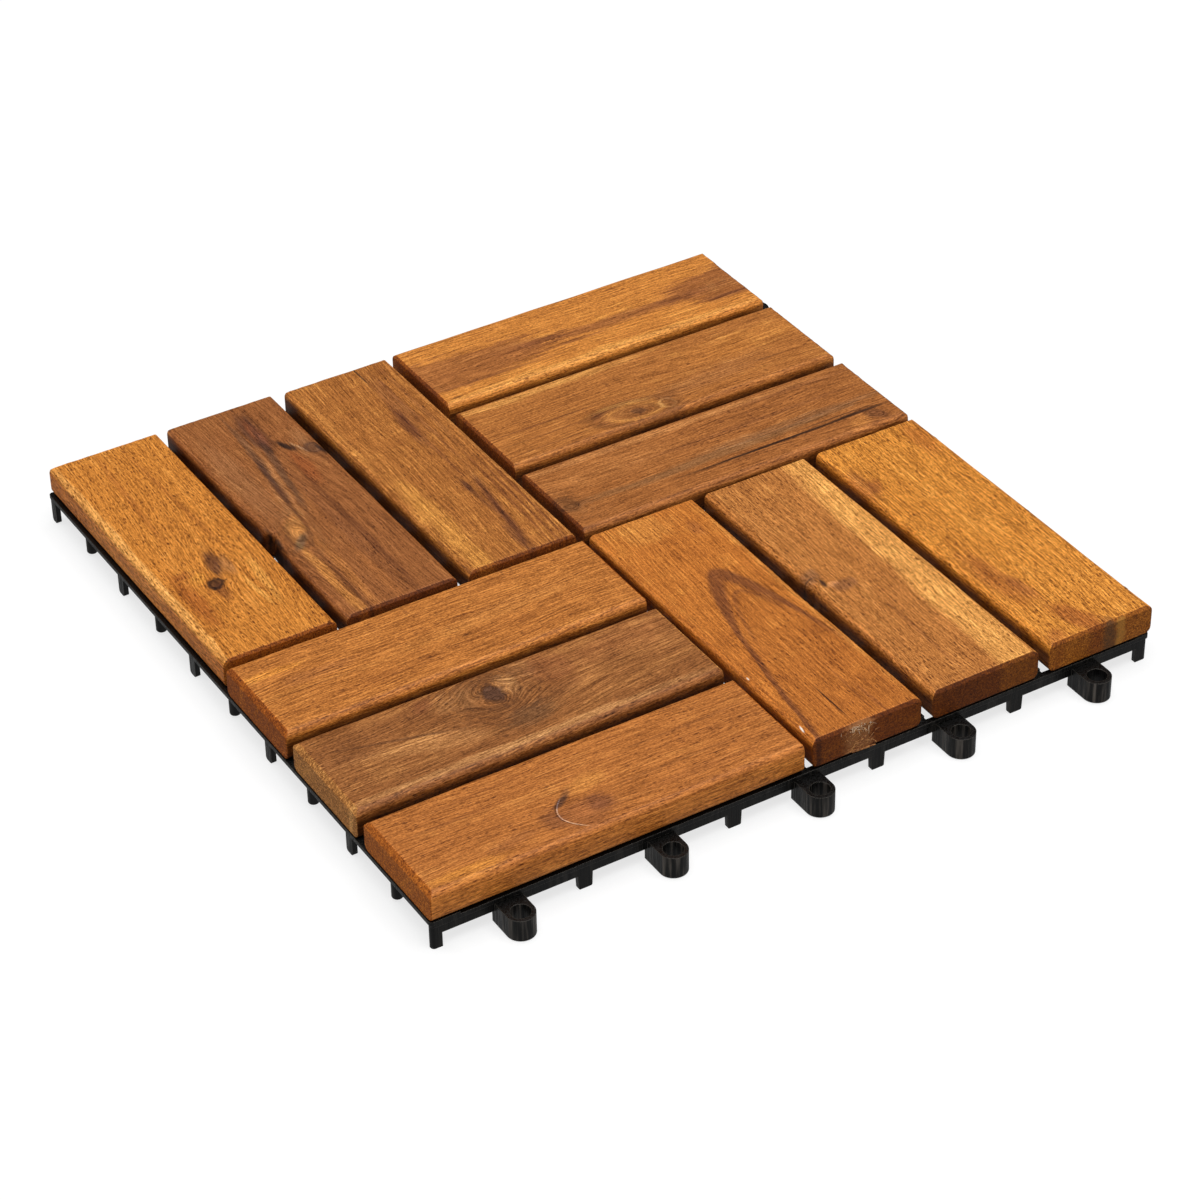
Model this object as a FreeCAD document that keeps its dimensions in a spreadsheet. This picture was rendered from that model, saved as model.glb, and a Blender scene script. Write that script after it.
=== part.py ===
import FreeCAD, Part
import math
import operator
import os
import Sketcher
from FreeCAD import Placement, Rotation, Vector

# Interlocking deck tile: twelve hardwood slats screwed onto a moulded lattice base.
# The tile lies in the XY plane with its centre at the origin and its feet on z = 0.
# Connector loops stand out of the front (-Y) and right (+X) sides, and connector pegs
# hang under the flanges of the left (-X) and back (+Y) sides, so that tiles clip together.

# Driving sizes in millimetres: alias, value, meaning.
DRIVING_SIZES = [
    ("tile_half", 150.0, "Tile centre to the outer edge of a flange"),
    ("base_height", 12.0, "Ground to the top of the ribs, where the slats lie"),
    ("slat_thickness", 12.0, "Height of a slat"),
    ("centre_gap", 3.2, "Gap between the slats of two quadrants"),
    ("slat_gap", 4.8, "Gap between two slats side by side"),
    ("end_inset", 0.4, "Flange edge to the outer end of a slat"),
    ("side_inset", 0.2, "Flange edge to the outer side of a slat"),
    ("slat_round", 2.8, "Radius along the four long edges of a slat"),
    ("slat_bevel", 2.2, "Bevel across the top of each slat end"),
    ("late_side_inset", 0.9, "How much further in the left outer slat sits"),
    ("short_slat_cut", 1.0, "How much shorter one slat was sawn"),
    ("wall", 2.0, "Thickness of the rim and skirt walls"),
    ("foot_height", 6.0, "Ground to the underside of the rim and skirt"),
    ("rim_setback", 1.0, "Tile edge to the outer face of the rim"),
    ("rim_end_setback", 0.6, "Tile edge to the free ends of the rim"),
    ("rim_drop", 0.9, "Top of the ribs down to the top of the rim"),
    ("lip_height", 1.7, "Height of the lip along the top of the rim"),
    ("lip_step", 0.4, "How far the lip stands out of the rim"),
    ("flange_thickness", 1.5, "Thickness of the two flanges"),
    ("flange_overhang", 9.6, "Flange edge to the outer face of the skirt"),
    ("corner_round", 1.4, "Radius of the outer corners, seen from above"),
    ("rib_thickness", 1.8, "Thickness of a rib"),
    ("rib_depth", 8.5, "Height of a rib away from its ends"),
    ("rib_end_run", 6.0, "Length of the shallow end of a rib"),
    ("rib_end_slope", 3.0, "Run of the slope behind the shallow end"),
    ("cell_pitch", 25.4, "Spacing of the ribs"),
    ("connector_pitch", 60.0, "Spacing of the loops and of the pegs"),
    ("loop_reach", 6.9, "Tile edge out to the centre of a loop's hole"),
    ("loop_hole_radius", 3.7, "Radius of a loop's hole"),
    ("loop_wall", 1.6, "Wall around a loop's hole"),
    ("loop_lift", 0.4, "Ground to the underside of a loop"),
    ("loop_height", 8.6, "Height of a loop"),
    ("peg_inset", 3.5, "Tile edge in to the centre of a peg"),
    ("peg_clearance", 1.6, "Radial play of a peg in a neighbour's loop"),
    ("peg_lift", 1.0, "Ground to the tip of a peg"),
    ("peg_tip_round", 0.8, "Radius around the tip of a peg"),
    ("leg_pitch", 60.0, "Spacing of the legs along a side"),
    ("leg_thickness", 2.0, "Thickness of a leg"),
    ("rim_leg_top", 5.9, "Width of a rim leg at its top"),
    ("rim_leg_bottom", 5.3, "Width of a rim leg at its foot"),
    ("rim_leg_round", 0.6, "Radius of a rim leg's bottom corners"),
    ("flange_leg_width", 4.4, "Width of a flange leg"),
    ("flange_leg_setback", 1.4, "Flange edge to the outer face of its legs"),
    ("flange_leg_round", 1.1, "Radius of a flange leg's bottom corners"),
    ("web_thickness", 1.6, "Thickness of the web behind a flange leg"),
    ("corner_foot", 5.0, "Width of the foot at the corner of the two rims"),
    ("end_foot", 4.0, "Width of the foot at each free end of the rim"),
    ("outer_foot", 3.8, "Width of the foot where the flanges meet"),
    ("outer_foot_setback", 0.5, "Flange edge to that foot"),
    ("pad_foot_radius", 3.0, "Radius of the round feet under the lattice"),
    ("tower_radius", 5.4, "Outer radius of a screw tower"),
    ("seat_height", 7.5, "Ground to the seat of a screw's head"),
    ("head_radius", 3.5, "Radius of a screw's head"),
    ("head_height", 2.2, "Height of a screw's head"),
    ("head_edge", 0.8, "Radius around the edge of a screw's head"),
    ("head_play", 0.4, "Radial play around a screw's head"),
    ("shank_radius", 1.75, "Radius of a screw's shank over its thread"),
    ("shank_play", 0.35, "Radial play of the shank in its tower"),
    ("screw_length", 13.0, "Screw length below its head"),
    ("screw_point", 3.0, "Length of a screw's point"),
    ("drive_width", 0.9, "Width of each arm of the cross recess"),
    ("drive_span", 4.0, "Span of the cross recess"),
    ("drive_depth", 1.1, "Depth of the cross recess"),
]

SLATS_PER_QUADRANT = 3
CONNECTORS_PER_SIDE = 5
LEGS_PER_SIDE = 4
RIBS_EACH_WAY = 11
QUARTER_TURN = 90.0

doc = FreeCAD.newDocument("deck_tile")
sheet = doc.addObject("Spreadsheet::Sheet", "Sizes")
for row, (alias, value, meaning) in enumerate(DRIVING_SIZES, start=1):
    sheet.set(f"A{row}", alias)
    sheet.set(f"B{row}", str(value))
    sheet.setAlias(f"B{row}", alias)
    sheet.set(f"C{row}", meaning)
doc.recompute()


class Size:
    """A length together with the formula that ties it to the sheet."""

    def __init__(self, value, formula):
        self.value = value
        self.formula = formula

    def __add__(self, other):
        return combined(self, "+", other)

    def __radd__(self, other):
        return combined(other, "+", self)

    def __sub__(self, other):
        return combined(self, "-", other)

    def __rsub__(self, other):
        return combined(other, "-", self)

    def __mul__(self, other):
        return combined(self, "*", other)

    def __truediv__(self, other):
        return combined(self, "/", other)

    def __neg__(self):
        return Size(-self.value, f"(-{self.formula})")


WORK_OUT = {"+": operator.add, "-": operator.sub, "*": operator.mul, "/": operator.truediv}


def as_size(item):
    """A plain number becomes a size whose formula is that number."""
    if isinstance(item, Size):
        return item
    return Size(float(item), str(float(item)))


def combined(first, sign, second):
    first = as_size(first)
    second = as_size(second)
    value = WORK_OUT[sign](first.value, second.value)
    return Size(value, f"({first.formula} {sign} {second.formula})")


def driving(alias):
    """The size that the sheet holds under an alias."""
    return Size(float(sheet.get(alias)), f"Sizes.{alias}")


ZERO = as_size(0.0)

# Heights and plan lines that several pieces share
tile_half = driving("tile_half")
base_height = driving("base_height")
wall = driving("wall")
foot_height = driving("foot_height")
rim_face = tile_half - driving("rim_setback")
rim_inside = rim_face - wall
rim_end = tile_half - driving("rim_end_setback")
rim_top = base_height - driving("rim_drop")
lip_face = rim_face + driving("lip_step")
skirt_face = tile_half - driving("flange_overhang")
skirt_inside = skirt_face - wall
flange_bottom = base_height - driving("flange_thickness")
corner_round = driving("corner_round")
cell_pitch = driving("cell_pitch")
peg_radius = driving("loop_hole_radius") - driving("peg_clearance")

# The slats share out what the gaps leave of half the tile
slat_room = tile_half - driving("side_inset") - driving("centre_gap") / 2
slat_width = (slat_room - driving("slat_gap") * (SLATS_PER_QUADRANT - 1)) / SLATS_PER_QUADRANT
slat_pitch = slat_width + driving("slat_gap")
slat_start = driving("centre_gap") / 2
slat_length = tile_half - driving("end_inset") - slat_start

# Every slat is screwed to the towers on the first and the last odd line of the lattice
tower_near = cell_pitch
tower_far = cell_pitch * (RIBS_EACH_WAY // 2)


def new_body(name):
    body = doc.addObject("PartDesign::Body", name)
    body.Label = name
    return body


def origin_feature(body, role):
    """An axis or a plane of the body's own origin."""
    for feature in body.Origin.OriginFeatures:
        if feature.Role == role:
            return feature
    raise ValueError(role)


def new_sketch(body, name, plane, offset):
    """A sketch parallel to one of the body's origin planes, offset along its normal."""
    sketch = body.newObject("Sketcher::SketchObject", name)
    sketch.AttachmentSupport = [(origin_feature(body, plane), "")]
    sketch.MapMode = "FlatFace"
    sketch.AttachmentOffset = Placement(Vector(0, 0, offset.value), Rotation())
    sketch.setExpression("AttachmentOffset.Base.z", offset.formula)
    return sketch


def bind(sketch, kind, targets, size):
    """Add a dimension to a sketch and tie it to the sheet."""
    index = sketch.addConstraint(Sketcher.Constraint(kind, *targets, size.value))
    sketch.setExpression(f"Constraints[{index}]", size.formula)


def pin_point(sketch, geometry, point, across, up):
    bind(sketch, "DistanceX", (-1, 1, geometry, point), across)
    bind(sketch, "DistanceY", (-1, 1, geometry, point), up)


def add_arc(sketch, begin, end, centre):
    """A counter-clockwise arc between two corners of an outline."""
    middle = Vector(centre[0].value, centre[1].value, 0)
    radius = math.hypot(begin[0].value - middle.x, begin[1].value - middle.y)
    first = math.atan2(begin[1].value - middle.y, begin[0].value - middle.x)
    last = math.atan2(end[1].value - middle.y, end[0].value - middle.x)
    if last <= first:
        last += 2 * math.pi
    circle = Part.Circle(middle, Vector(0, 0, 1), radius)
    return sketch.addGeometry(Part.ArcOfCircle(circle, first, last), False)


def add_outline(sketch, corners, arcs=None):
    """A closed outline through the corners, counter-clockwise where it has arcs.

    arcs maps the number of a side to the centre of the arc that replaces it.
    """
    arcs = arcs or {}
    count = len(corners)
    sides = []
    for number, begin in enumerate(corners):
        end = corners[(number + 1) % count]
        if number in arcs:
            sides.append(add_arc(sketch, begin, end, arcs[number]))
            continue
        start_point = Vector(begin[0].value, begin[1].value, 0)
        end_point = Vector(end[0].value, end[1].value, 0)
        sides.append(sketch.addGeometry(Part.LineSegment(start_point, end_point), False))
    for number, side in enumerate(sides):
        following = sides[(number + 1) % count]
        sketch.addConstraint(Sketcher.Constraint("Coincident", side, 2, following, 1))
        pin_point(sketch, side, 1, *corners[number])
    for number, centre in arcs.items():
        bind(sketch, "DistanceX", (-1, 1, sides[number], 3), centre[0])


def stepped_towards(corner, target, distance):
    """The point a distance away from a corner, along the level or upright side to a target."""
    across = target[0].value - corner[0].value
    up = target[1].value - corner[1].value
    if abs(across) > abs(up):
        return (corner[0] + distance * math.copysign(1, across), corner[1])
    return (corner[0], corner[1] + distance * math.copysign(1, up))


def add_rounded_outline(sketch, corners, rounds):
    """An outline with some of its square corners rounded: rounds maps their numbers to radii."""
    points = []
    arcs = {}
    for number, corner in enumerate(corners):
        if number not in rounds:
            points.append(corner)
            continue
        following = corners[(number + 1) % len(corners)]
        before = stepped_towards(corner, corners[number - 1], rounds[number])
        after = stepped_towards(corner, following, rounds[number])
        arcs[len(points)] = (before[0] + after[0] - corner[0], before[1] + after[1] - corner[1])
        points += [before, after]
    add_outline(sketch, points, arcs)


def rectangle(left, bottom, right, top):
    return [(left, bottom), (right, bottom), (right, top), (left, top)]


def add_circle(sketch, across, up, radius):
    circle = Part.Circle(Vector(across.value, up.value, 0), Vector(0, 0, 1), radius.value)
    index = sketch.addGeometry(circle, False)
    pin_point(sketch, index, 3, across, up)
    bind(sketch, "Radius", (index,), radius)


def add_pad(body, name, sketch, length, both_ways=False):
    pad = body.newObject("PartDesign::Pad", name)
    pad.Profile = sketch
    pad.setExpression("Length", length.formula)
    if both_ways:
        pad.SideType = "Symmetric"
    return pad


def add_pocket(body, name, sketch, depth, reverse=False, both_ways=False):
    pocket = body.newObject("PartDesign::Pocket", name)
    pocket.Profile = sketch
    pocket.setExpression("Length", depth.formula)
    pocket.Reversed = reverse
    if both_ways:
        pocket.SideType = "Symmetric"
    return pocket


def add_revolution(body, name, sketch, across, low, high):
    """Turn a sketch about an upright construction line that it gets here."""
    bottom = Vector(across.value, low.value, 0)
    top = Vector(across.value, high.value, 0)
    index = sketch.addGeometry(Part.LineSegment(bottom, top), True)
    pin_point(sketch, index, 1, across, low)
    pin_point(sketch, index, 2, across, high)
    revolution = body.newObject("PartDesign::Revolution", name)
    revolution.Profile = sketch
    revolution.ReferenceAxis = (sketch, ["Axis0"])
    return revolution


def row_pattern(body, name, axis, pitch, count):
    """Copies in a row along an axis of the origin."""
    pattern = body.newObject("PartDesign::LinearPattern", name)
    pattern.Direction = (origin_feature(body, axis), [""])
    pattern.Mode = "Spacing"
    pattern.setExpression("Offset", pitch.formula)
    pattern.Occurrences = count
    return pattern


def turn_pattern(body, name, count, clockwise):
    """Copies in quarter turns about the tile's centre."""
    pattern = body.newObject("PartDesign::PolarPattern", name)
    pattern.Axis = (origin_feature(body, "Z_Axis"), [""])
    pattern.Mode = "Spacing"
    pattern.Offset = QUARTER_TURN
    pattern.Occurrences = count
    pattern.Reversed = clockwise
    return pattern


def repeat(body, name, features, patterns):
    """Apply the patterns one after the other to the features.

    Faces that the copies split are merged by the next pad or pocket, which is quicker.
    """
    for feature in features:
        feature.Refine = False
    repeated = body.newObject("PartDesign::MultiTransform", name)
    repeated.Refine = False
    repeated.Originals = features
    repeated.Transformations = patterns
    body.Tip = repeated
    return repeated


def repeat_on_two_sides(body, name, features, pitch, count):
    """A row along Y on one side, copied by a quarter turn to the next side clockwise."""
    along = row_pattern(body, f"{name}_row", "Y_Axis", pitch, count)
    around = turn_pattern(body, f"{name}_turn", 2, True)
    return repeat(body, name, features, [along, around])


def row_start(pitch, count):
    """The lowest place in a row that is centred on the tile."""
    return -(pitch * ((count - 1) / 2))


def add_rim(body):
    """The rim wall on the loop sides and the skirt wall that stands back on the peg sides."""
    sketch = new_sketch(body, "rim_plan", "XY_Plane", foot_height)
    corners = [
        (-rim_end, -rim_face),
        (rim_face, -rim_face),
        (rim_face, rim_end),
        (rim_inside, rim_end),
        (rim_inside, skirt_face),
        (-skirt_face, skirt_face),
        (-skirt_face, -rim_inside),
        (-rim_end, -rim_inside),
    ]
    add_rounded_outline(sketch, corners, {number: corner_round for number in (0, 1, 2)})
    add_outline(sketch, rectangle(-skirt_inside, -rim_inside, rim_inside, skirt_inside))
    add_pad(body, "rim", sketch, rim_top - foot_height)


def add_lip(body):
    """The lip that stands slightly proud along the top of the rim."""
    sketch = new_sketch(body, "lip_plan", "XY_Plane", rim_top - driving("lip_height"))
    corners = [
        (-rim_end, -lip_face),
        (lip_face, -lip_face),
        (lip_face, rim_end),
        (rim_inside, rim_end),
        (rim_inside, -rim_inside),
        (-rim_end, -rim_inside),
    ]
    add_rounded_outline(sketch, corners, {number: corner_round for number in (0, 1, 2)})
    add_pad(body, "lip", sketch, driving("lip_height"))


def add_flanges(body):
    """The thin flanges that carry the pegs and run level with the top of the ribs."""
    sketch = new_sketch(body, "flange_plan", "XY_Plane", flange_bottom)
    corners = [
        (-tile_half, -lip_face),
        (-skirt_inside, -lip_face),
        (-skirt_inside, skirt_inside),
        (lip_face, skirt_inside),
        (lip_face, tile_half),
        (-tile_half, tile_half),
    ]
    add_rounded_outline(sketch, corners, {number: corner_round for number in (0, 4, 5)})
    add_pad(body, "flanges", sketch, driving("flange_thickness"))


def add_ribs(body):
    """The lattice: ribs from skirt to rim, shallow at both ends and deep between them."""
    skirt_middle = -skirt_face + wall / 2
    rim_middle = rim_face - wall / 2
    rib_bottom = base_height - driving("rib_depth")
    end_run = driving("rib_end_run")
    deep_run = end_run + driving("rib_end_slope")
    first_rib = row_start(cell_pitch, RIBS_EACH_WAY)
    sketch = new_sketch(body, "rib_profile", "XZ_Plane", -first_rib)
    add_outline(sketch, [
        (skirt_middle, foot_height),
        (skirt_middle + end_run, foot_height),
        (skirt_middle + deep_run, rib_bottom),
        (rim_middle - deep_run, rib_bottom),
        (rim_middle - end_run, foot_height),
        (rim_middle, foot_height),
        (rim_middle, rim_top),
        (rim_middle - wall, rim_top),
        (rim_middle - wall, base_height),
        (skirt_middle, base_height),
    ])
    rib = add_pad(body, "rib", sketch, driving("rib_thickness"), both_ways=True)
    repeat_on_two_sides(body, "ribs", [rib], cell_pitch, RIBS_EACH_WAY)


def add_loops(body):
    """The loops: a round eye on a straight-sided root, with an upright hole."""
    hole_radius = driving("loop_hole_radius")
    radius = hole_radius + driving("loop_wall")
    across = tile_half + driving("loop_reach")
    root = rim_face - wall
    pitch = driving("connector_pitch")
    line = row_start(pitch, CONNECTORS_PER_SIDE)
    sketch = new_sketch(body, "loop_plan", "XY_Plane", driving("loop_lift"))
    corners = [
        (root, line - radius),
        (across, line - radius),
        (across, line + radius),
        (root, line + radius),
    ]
    add_outline(sketch, corners, arcs={1: (across, line)})
    add_circle(sketch, across, line, hole_radius)
    loop = add_pad(body, "loop", sketch, driving("loop_height"))
    repeat_on_two_sides(body, "loops", [loop], pitch, CONNECTORS_PER_SIDE)


def add_pegs(body):
    """The pegs: round, with a rounded tip, hanging from the middle of a flange's overhang."""
    across = -(tile_half - driving("peg_inset"))
    tip = driving("peg_lift")
    top = flange_bottom + driving("flange_thickness") / 2
    pitch = driving("connector_pitch")
    first_peg = row_start(pitch, CONNECTORS_PER_SIDE)
    sketch = new_sketch(body, "peg_profile", "XZ_Plane", -first_peg)
    corners = [
        (across, tip),
        (across + peg_radius, tip),
        (across + peg_radius, top),
        (across, top),
    ]
    add_rounded_outline(sketch, corners, {1: driving("peg_tip_round")})
    peg = add_revolution(body, "peg", sketch, across, tip, top)
    repeat_on_two_sides(body, "pegs", [peg], pitch, CONNECTORS_PER_SIDE)


def add_rim_legs(body):
    """The legs that stand flush under the rim."""
    pitch = driving("leg_pitch")
    line = row_start(pitch, LEGS_PER_SIDE)
    thickness = driving("leg_thickness")
    sketch = new_sketch(body, "rim_leg_outline", "YZ_Plane", rim_face - thickness)
    top = foot_height + wall / 2
    half_top = driving("rim_leg_top") / 2
    half_bottom = driving("rim_leg_bottom") / 2
    foot_round = driving("rim_leg_round")
    corners = [
        (line - half_bottom + foot_round, ZERO),
        (line + half_bottom - foot_round, ZERO),
        (line + half_bottom, foot_round),
        (line + half_top, top),
        (line - half_top, top),
        (line - half_bottom, foot_round),
    ]
    right_centre = (line + half_bottom - foot_round, foot_round)
    left_centre = (line - half_bottom + foot_round, foot_round)
    add_outline(sketch, corners, arcs={1: right_centre, 5: left_centre})
    leg = add_pad(body, "rim_leg", sketch, thickness)
    repeat_on_two_sides(body, "rim_legs", [leg], pitch, LEGS_PER_SIDE)


def add_flange_legs(body):
    """The legs under the flanges, each tied back to the skirt by a web."""
    pitch = driving("leg_pitch")
    line = row_start(pitch, LEGS_PER_SIDE)
    thickness = driving("leg_thickness")
    outer_face = -(tile_half - driving("flange_leg_setback"))
    top = flange_bottom + driving("flange_thickness") / 2
    half_width = driving("flange_leg_width") / 2
    foot_round = driving("flange_leg_round")
    outline = new_sketch(body, "flange_leg_outline", "YZ_Plane", outer_face)
    sides = rectangle(line - half_width, ZERO, line + half_width, top)
    add_rounded_outline(outline, sides, {0: foot_round, 1: foot_round})
    leg = add_pad(body, "flange_leg", outline, thickness)
    repeat_on_two_sides(body, "flange_legs", [leg], pitch, LEGS_PER_SIDE)
    profile = new_sketch(body, "web_profile", "XZ_Plane", -line)
    add_outline(profile, rectangle(outer_face + thickness / 2, foot_height, -skirt_inside, top))
    web = add_pad(body, "web", profile, driving("web_thickness"), both_ways=True)
    repeat_on_two_sides(body, "webs", [web], pitch, LEGS_PER_SIDE)


def add_corner_feet(body):
    """An angled foot where the rims meet, and a small one at each end of the rims."""
    corner_foot = driving("corner_foot")
    end_foot = driving("end_foot")
    sketch = new_sketch(body, "corner_feet_plan", "XY_Plane", ZERO)
    angle = [
        (rim_face, -rim_face),
        (rim_face, -rim_face + corner_foot),
        (rim_inside, -rim_face + corner_foot),
        (rim_inside, -rim_inside),
        (rim_face - corner_foot, -rim_inside),
        (rim_face - corner_foot, -rim_face),
    ]
    add_rounded_outline(sketch, angle, {0: corner_round})
    front_left = rectangle(-rim_end, -rim_face, -rim_end + end_foot, -rim_inside)
    add_rounded_outline(sketch, front_left, {0: corner_round})
    back_right = rectangle(rim_inside, rim_end - end_foot, rim_face, rim_end)
    add_rounded_outline(sketch, back_right, {2: corner_round})
    add_pad(body, "corner_feet", sketch, flange_bottom + driving("flange_thickness") / 2)


def add_outer_foot(body):
    """The leg with a rounded foot at the corner where the two flanges meet."""
    outer_face = -(tile_half - driving("outer_foot_setback"))
    width = driving("outer_foot")
    foot_round = driving("flange_leg_round")
    top = flange_bottom + driving("flange_thickness") / 2
    sketch = new_sketch(body, "outer_foot_outline", "YZ_Plane", outer_face)
    sides = rectangle(-outer_face - width, ZERO, -outer_face, top)
    add_rounded_outline(sketch, sides, {0: foot_round, 1: foot_round})
    add_pad(body, "outer_foot", sketch, driving("leg_thickness"))


def add_pad_feet(body):
    """The small round feet under every second crossing of the ribs."""
    count = RIBS_EACH_WAY // 2
    lines = [cell_pitch * (2 * number - count + 1) for number in range(count)]
    sketch = new_sketch(body, "pad_feet_plan", "XY_Plane", ZERO)
    for across in lines:
        for up in lines:
            add_circle(sketch, across, up, driving("pad_foot_radius"))
    add_pad(body, "pad_feet", sketch, foot_height)


def tower_places():
    """Two towers under each slat of a quadrant, turned by quarters into all four quadrants."""
    places = []
    for across in (tower_near, tower_far):
        for place in range(SLATS_PER_QUADRANT):
            up = tower_near + cell_pitch * 2 * place
            places += [(across, up), (-up, across), (-across, -up), (up, -across)]
    return places


def add_towers(body):
    """The screw towers, hollow from below up to the seat of the screw's head."""
    recess_radius = driving("head_radius") + driving("head_play")
    hole_radius = driving("shank_radius") + driving("shank_play")
    plan = new_sketch(body, "towers_plan", "XY_Plane", ZERO)
    recess_plan = new_sketch(body, "recesses_plan", "XY_Plane", ZERO)
    hole_plan = new_sketch(body, "holes_plan", "XY_Plane", ZERO)
    for across, up in tower_places():
        add_circle(plan, across, up, driving("tower_radius"))
        add_circle(recess_plan, across, up, recess_radius)
        add_circle(hole_plan, across, up, hole_radius)
    add_pad(body, "towers", plan, base_height)
    add_pocket(body, "recesses", recess_plan, driving("seat_height"), reverse=True)
    add_pocket(body, "holes", hole_plan, base_height, reverse=True)


BASE_FEATURES = [
    add_rim,
    add_lip,
    add_flanges,
    add_corner_feet,
    add_outer_foot,
    add_rim_legs,
    add_flange_legs,
    add_loops,
    add_pegs,
    add_ribs,
    add_pad_feet,
    add_towers,
]


def make_base():
    """The base is one moulding: each feature is worked out before the next one reads it."""
    body = new_body("base_grid")
    for add_feature in BASE_FEATURES:
        add_feature(body)
        doc.recompute()


def add_slat_section(sketch, line):
    """The slat's section: a flat bar with its four long edges rounded."""
    left = line - slat_width / 2
    right = line + slat_width / 2
    low = base_height
    high = base_height + driving("slat_thickness")
    bar = rectangle(left, low, right, high)
    add_rounded_outline(sketch, bar, {number: driving("slat_round") for number in range(4)})


def add_end_bevels(body, line, length):
    """The sawn bevel across the top of both ends."""
    bevel = driving("slat_bevel")
    top = base_height + driving("slat_thickness")
    end = slat_start + length
    over = top + bevel
    sketch = new_sketch(body, "bevel_profile", "XZ_Plane", -line)
    add_outline(sketch, [
        (slat_start - bevel, top - bevel * 2),
        (slat_start + bevel * 2, over),
        (slat_start - bevel, over),
    ])
    add_outline(sketch, [
        (end + bevel, top - bevel * 2),
        (end + bevel, over),
        (end - bevel * 2, over),
    ])
    add_pocket(body, "bevels", sketch, slat_width * 2, both_ways=True)


def add_pilot_holes(body, tower_line):
    """Two blind holes from below that the screws cut their thread into."""
    depth = driving("seat_height") + driving("screw_length") - base_height
    plan = new_sketch(body, "pilot_plan", "XY_Plane", base_height)
    add_circle(plan, tower_near, tower_line, driving("shank_radius"))
    add_circle(plan, tower_far, tower_line, driving("shank_radius"))
    add_pocket(body, "pilot_holes", plan, depth, reverse=True)


def make_slat(name, turns, place, side_shift, end_cut):
    """A slat along X in the first quadrant, turned into its own quadrant.

    place counts the slats of a quadrant outwards from the tile's centre, from 0.
    """
    body = new_body(name)
    line = slat_start + slat_width / 2 + slat_pitch * place - side_shift
    length = slat_length - end_cut
    section = new_sketch(body, "section", "YZ_Plane", slat_start)
    add_slat_section(section, line)
    add_pad(body, "bar", section, length)
    add_end_bevels(body, line, length)
    add_pilot_holes(body, tower_near + cell_pitch * 2 * place)
    body.Placement = Placement(Vector(0, 0, 0), Rotation(Vector(0, 0, 1), QUARTER_TURN * turns))


def make_slats():
    """Three slats in each quadrant, each quadrant a quarter turn on from the one before."""
    quadrants = ["back_right", "back_left", "front_left", "front_right"]
    places = ["inner", "middle", "outer"]
    for turns, quadrant in enumerate(quadrants):
        for place, word in enumerate(places):
            name = f"slat_{quadrant}_{word}"
            side_shift = driving("late_side_inset") if name == "slat_back_left_outer" else ZERO
            end_cut = driving("short_slat_cut") if name == "slat_back_left_inner" else ZERO
            make_slat(name, turns, place, side_shift, end_cut)


def make_screws():
    """The pan-head screws, two for each slat, head down in the towers."""
    body = new_body("screws")
    body.AllowCompound = True
    seat = driving("seat_height")
    shank_radius = driving("shank_radius")
    head_bottom = seat - driving("head_height")
    tip = seat + driving("screw_length")
    across = tower_near
    profile = new_sketch(body, "screw_profile", "XZ_Plane", -tower_near)
    corners = [
        (across, head_bottom),
        (across + driving("head_radius"), head_bottom),
        (across + driving("head_radius"), seat),
        (across + shank_radius, seat),
        (across + shank_radius, tip - driving("screw_point")),
        (across, tip),
    ]
    add_rounded_outline(profile, corners, {1: driving("head_edge")})
    screw = add_revolution(body, "screw", profile, across, head_bottom, tip)
    half_width = driving("drive_width") / 2
    half_span = driving("drive_span") / 2
    arm = [(half_span, half_width), (half_width, half_span)]
    recesses = []
    for number, (reach_x, reach_y) in enumerate(arm, start=1):
        plan = new_sketch(body, f"drive_plan_{number}", "XY_Plane", head_bottom)
        cross = rectangle(across - reach_x, across - reach_y, across + reach_x, across + reach_y)
        add_outline(plan, cross)
        recesses.append(add_pocket(body, f"drive_arm_{number}", plan, driving("drive_depth"), reverse=True))
    along = row_pattern(body, "screws_along", "X_Axis", tower_far - tower_near, 2)
    beside = row_pattern(body, "screws_across", "Y_Axis", cell_pitch * 2, SLATS_PER_QUADRANT)
    around = turn_pattern(body, "screws_turn", 4, False)
    repeat(body, "all_screws", [screw, *recesses], [along, beside, around])


def check_document():
    """Stop before anything is written if a feature failed or a shape is unsound."""
    for item in doc.Objects:
        if "Invalid" in item.State or "Error" in item.State:
            raise RuntimeError(f"{item.Name} failed: {item.State}")
    for item in doc.findObjects("PartDesign::Body"):
        if item.Shape.isNull() or not item.Shape.isValid():
            raise RuntimeError(f"{item.Label} has no sound shape")


def write_parts():
    os.makedirs("parts", exist_ok=True)
    for item in doc.findObjects("PartDesign::Body"):
        item.Shape.exportStep(os.path.join("parts", f"{item.Label}.step"))
        box = item.Shape.BoundBox
        print(f"{item.Label}: {len(item.Shape.Solids)} solids, {item.Shape.Volume / 1000:.2f} cm3,"
              f" x {box.XMin:.2f} to {box.XMax:.2f}, y {box.YMin:.2f} to {box.YMax:.2f},"
              f" z {box.ZMin:.2f} to {box.ZMax:.2f}")


make_base()
make_slats()
make_screws()
doc.recompute()
check_document()
write_parts()
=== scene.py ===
import math
import random

import bmesh
import bpy
from mathutils import Matrix, Vector, noise


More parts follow.
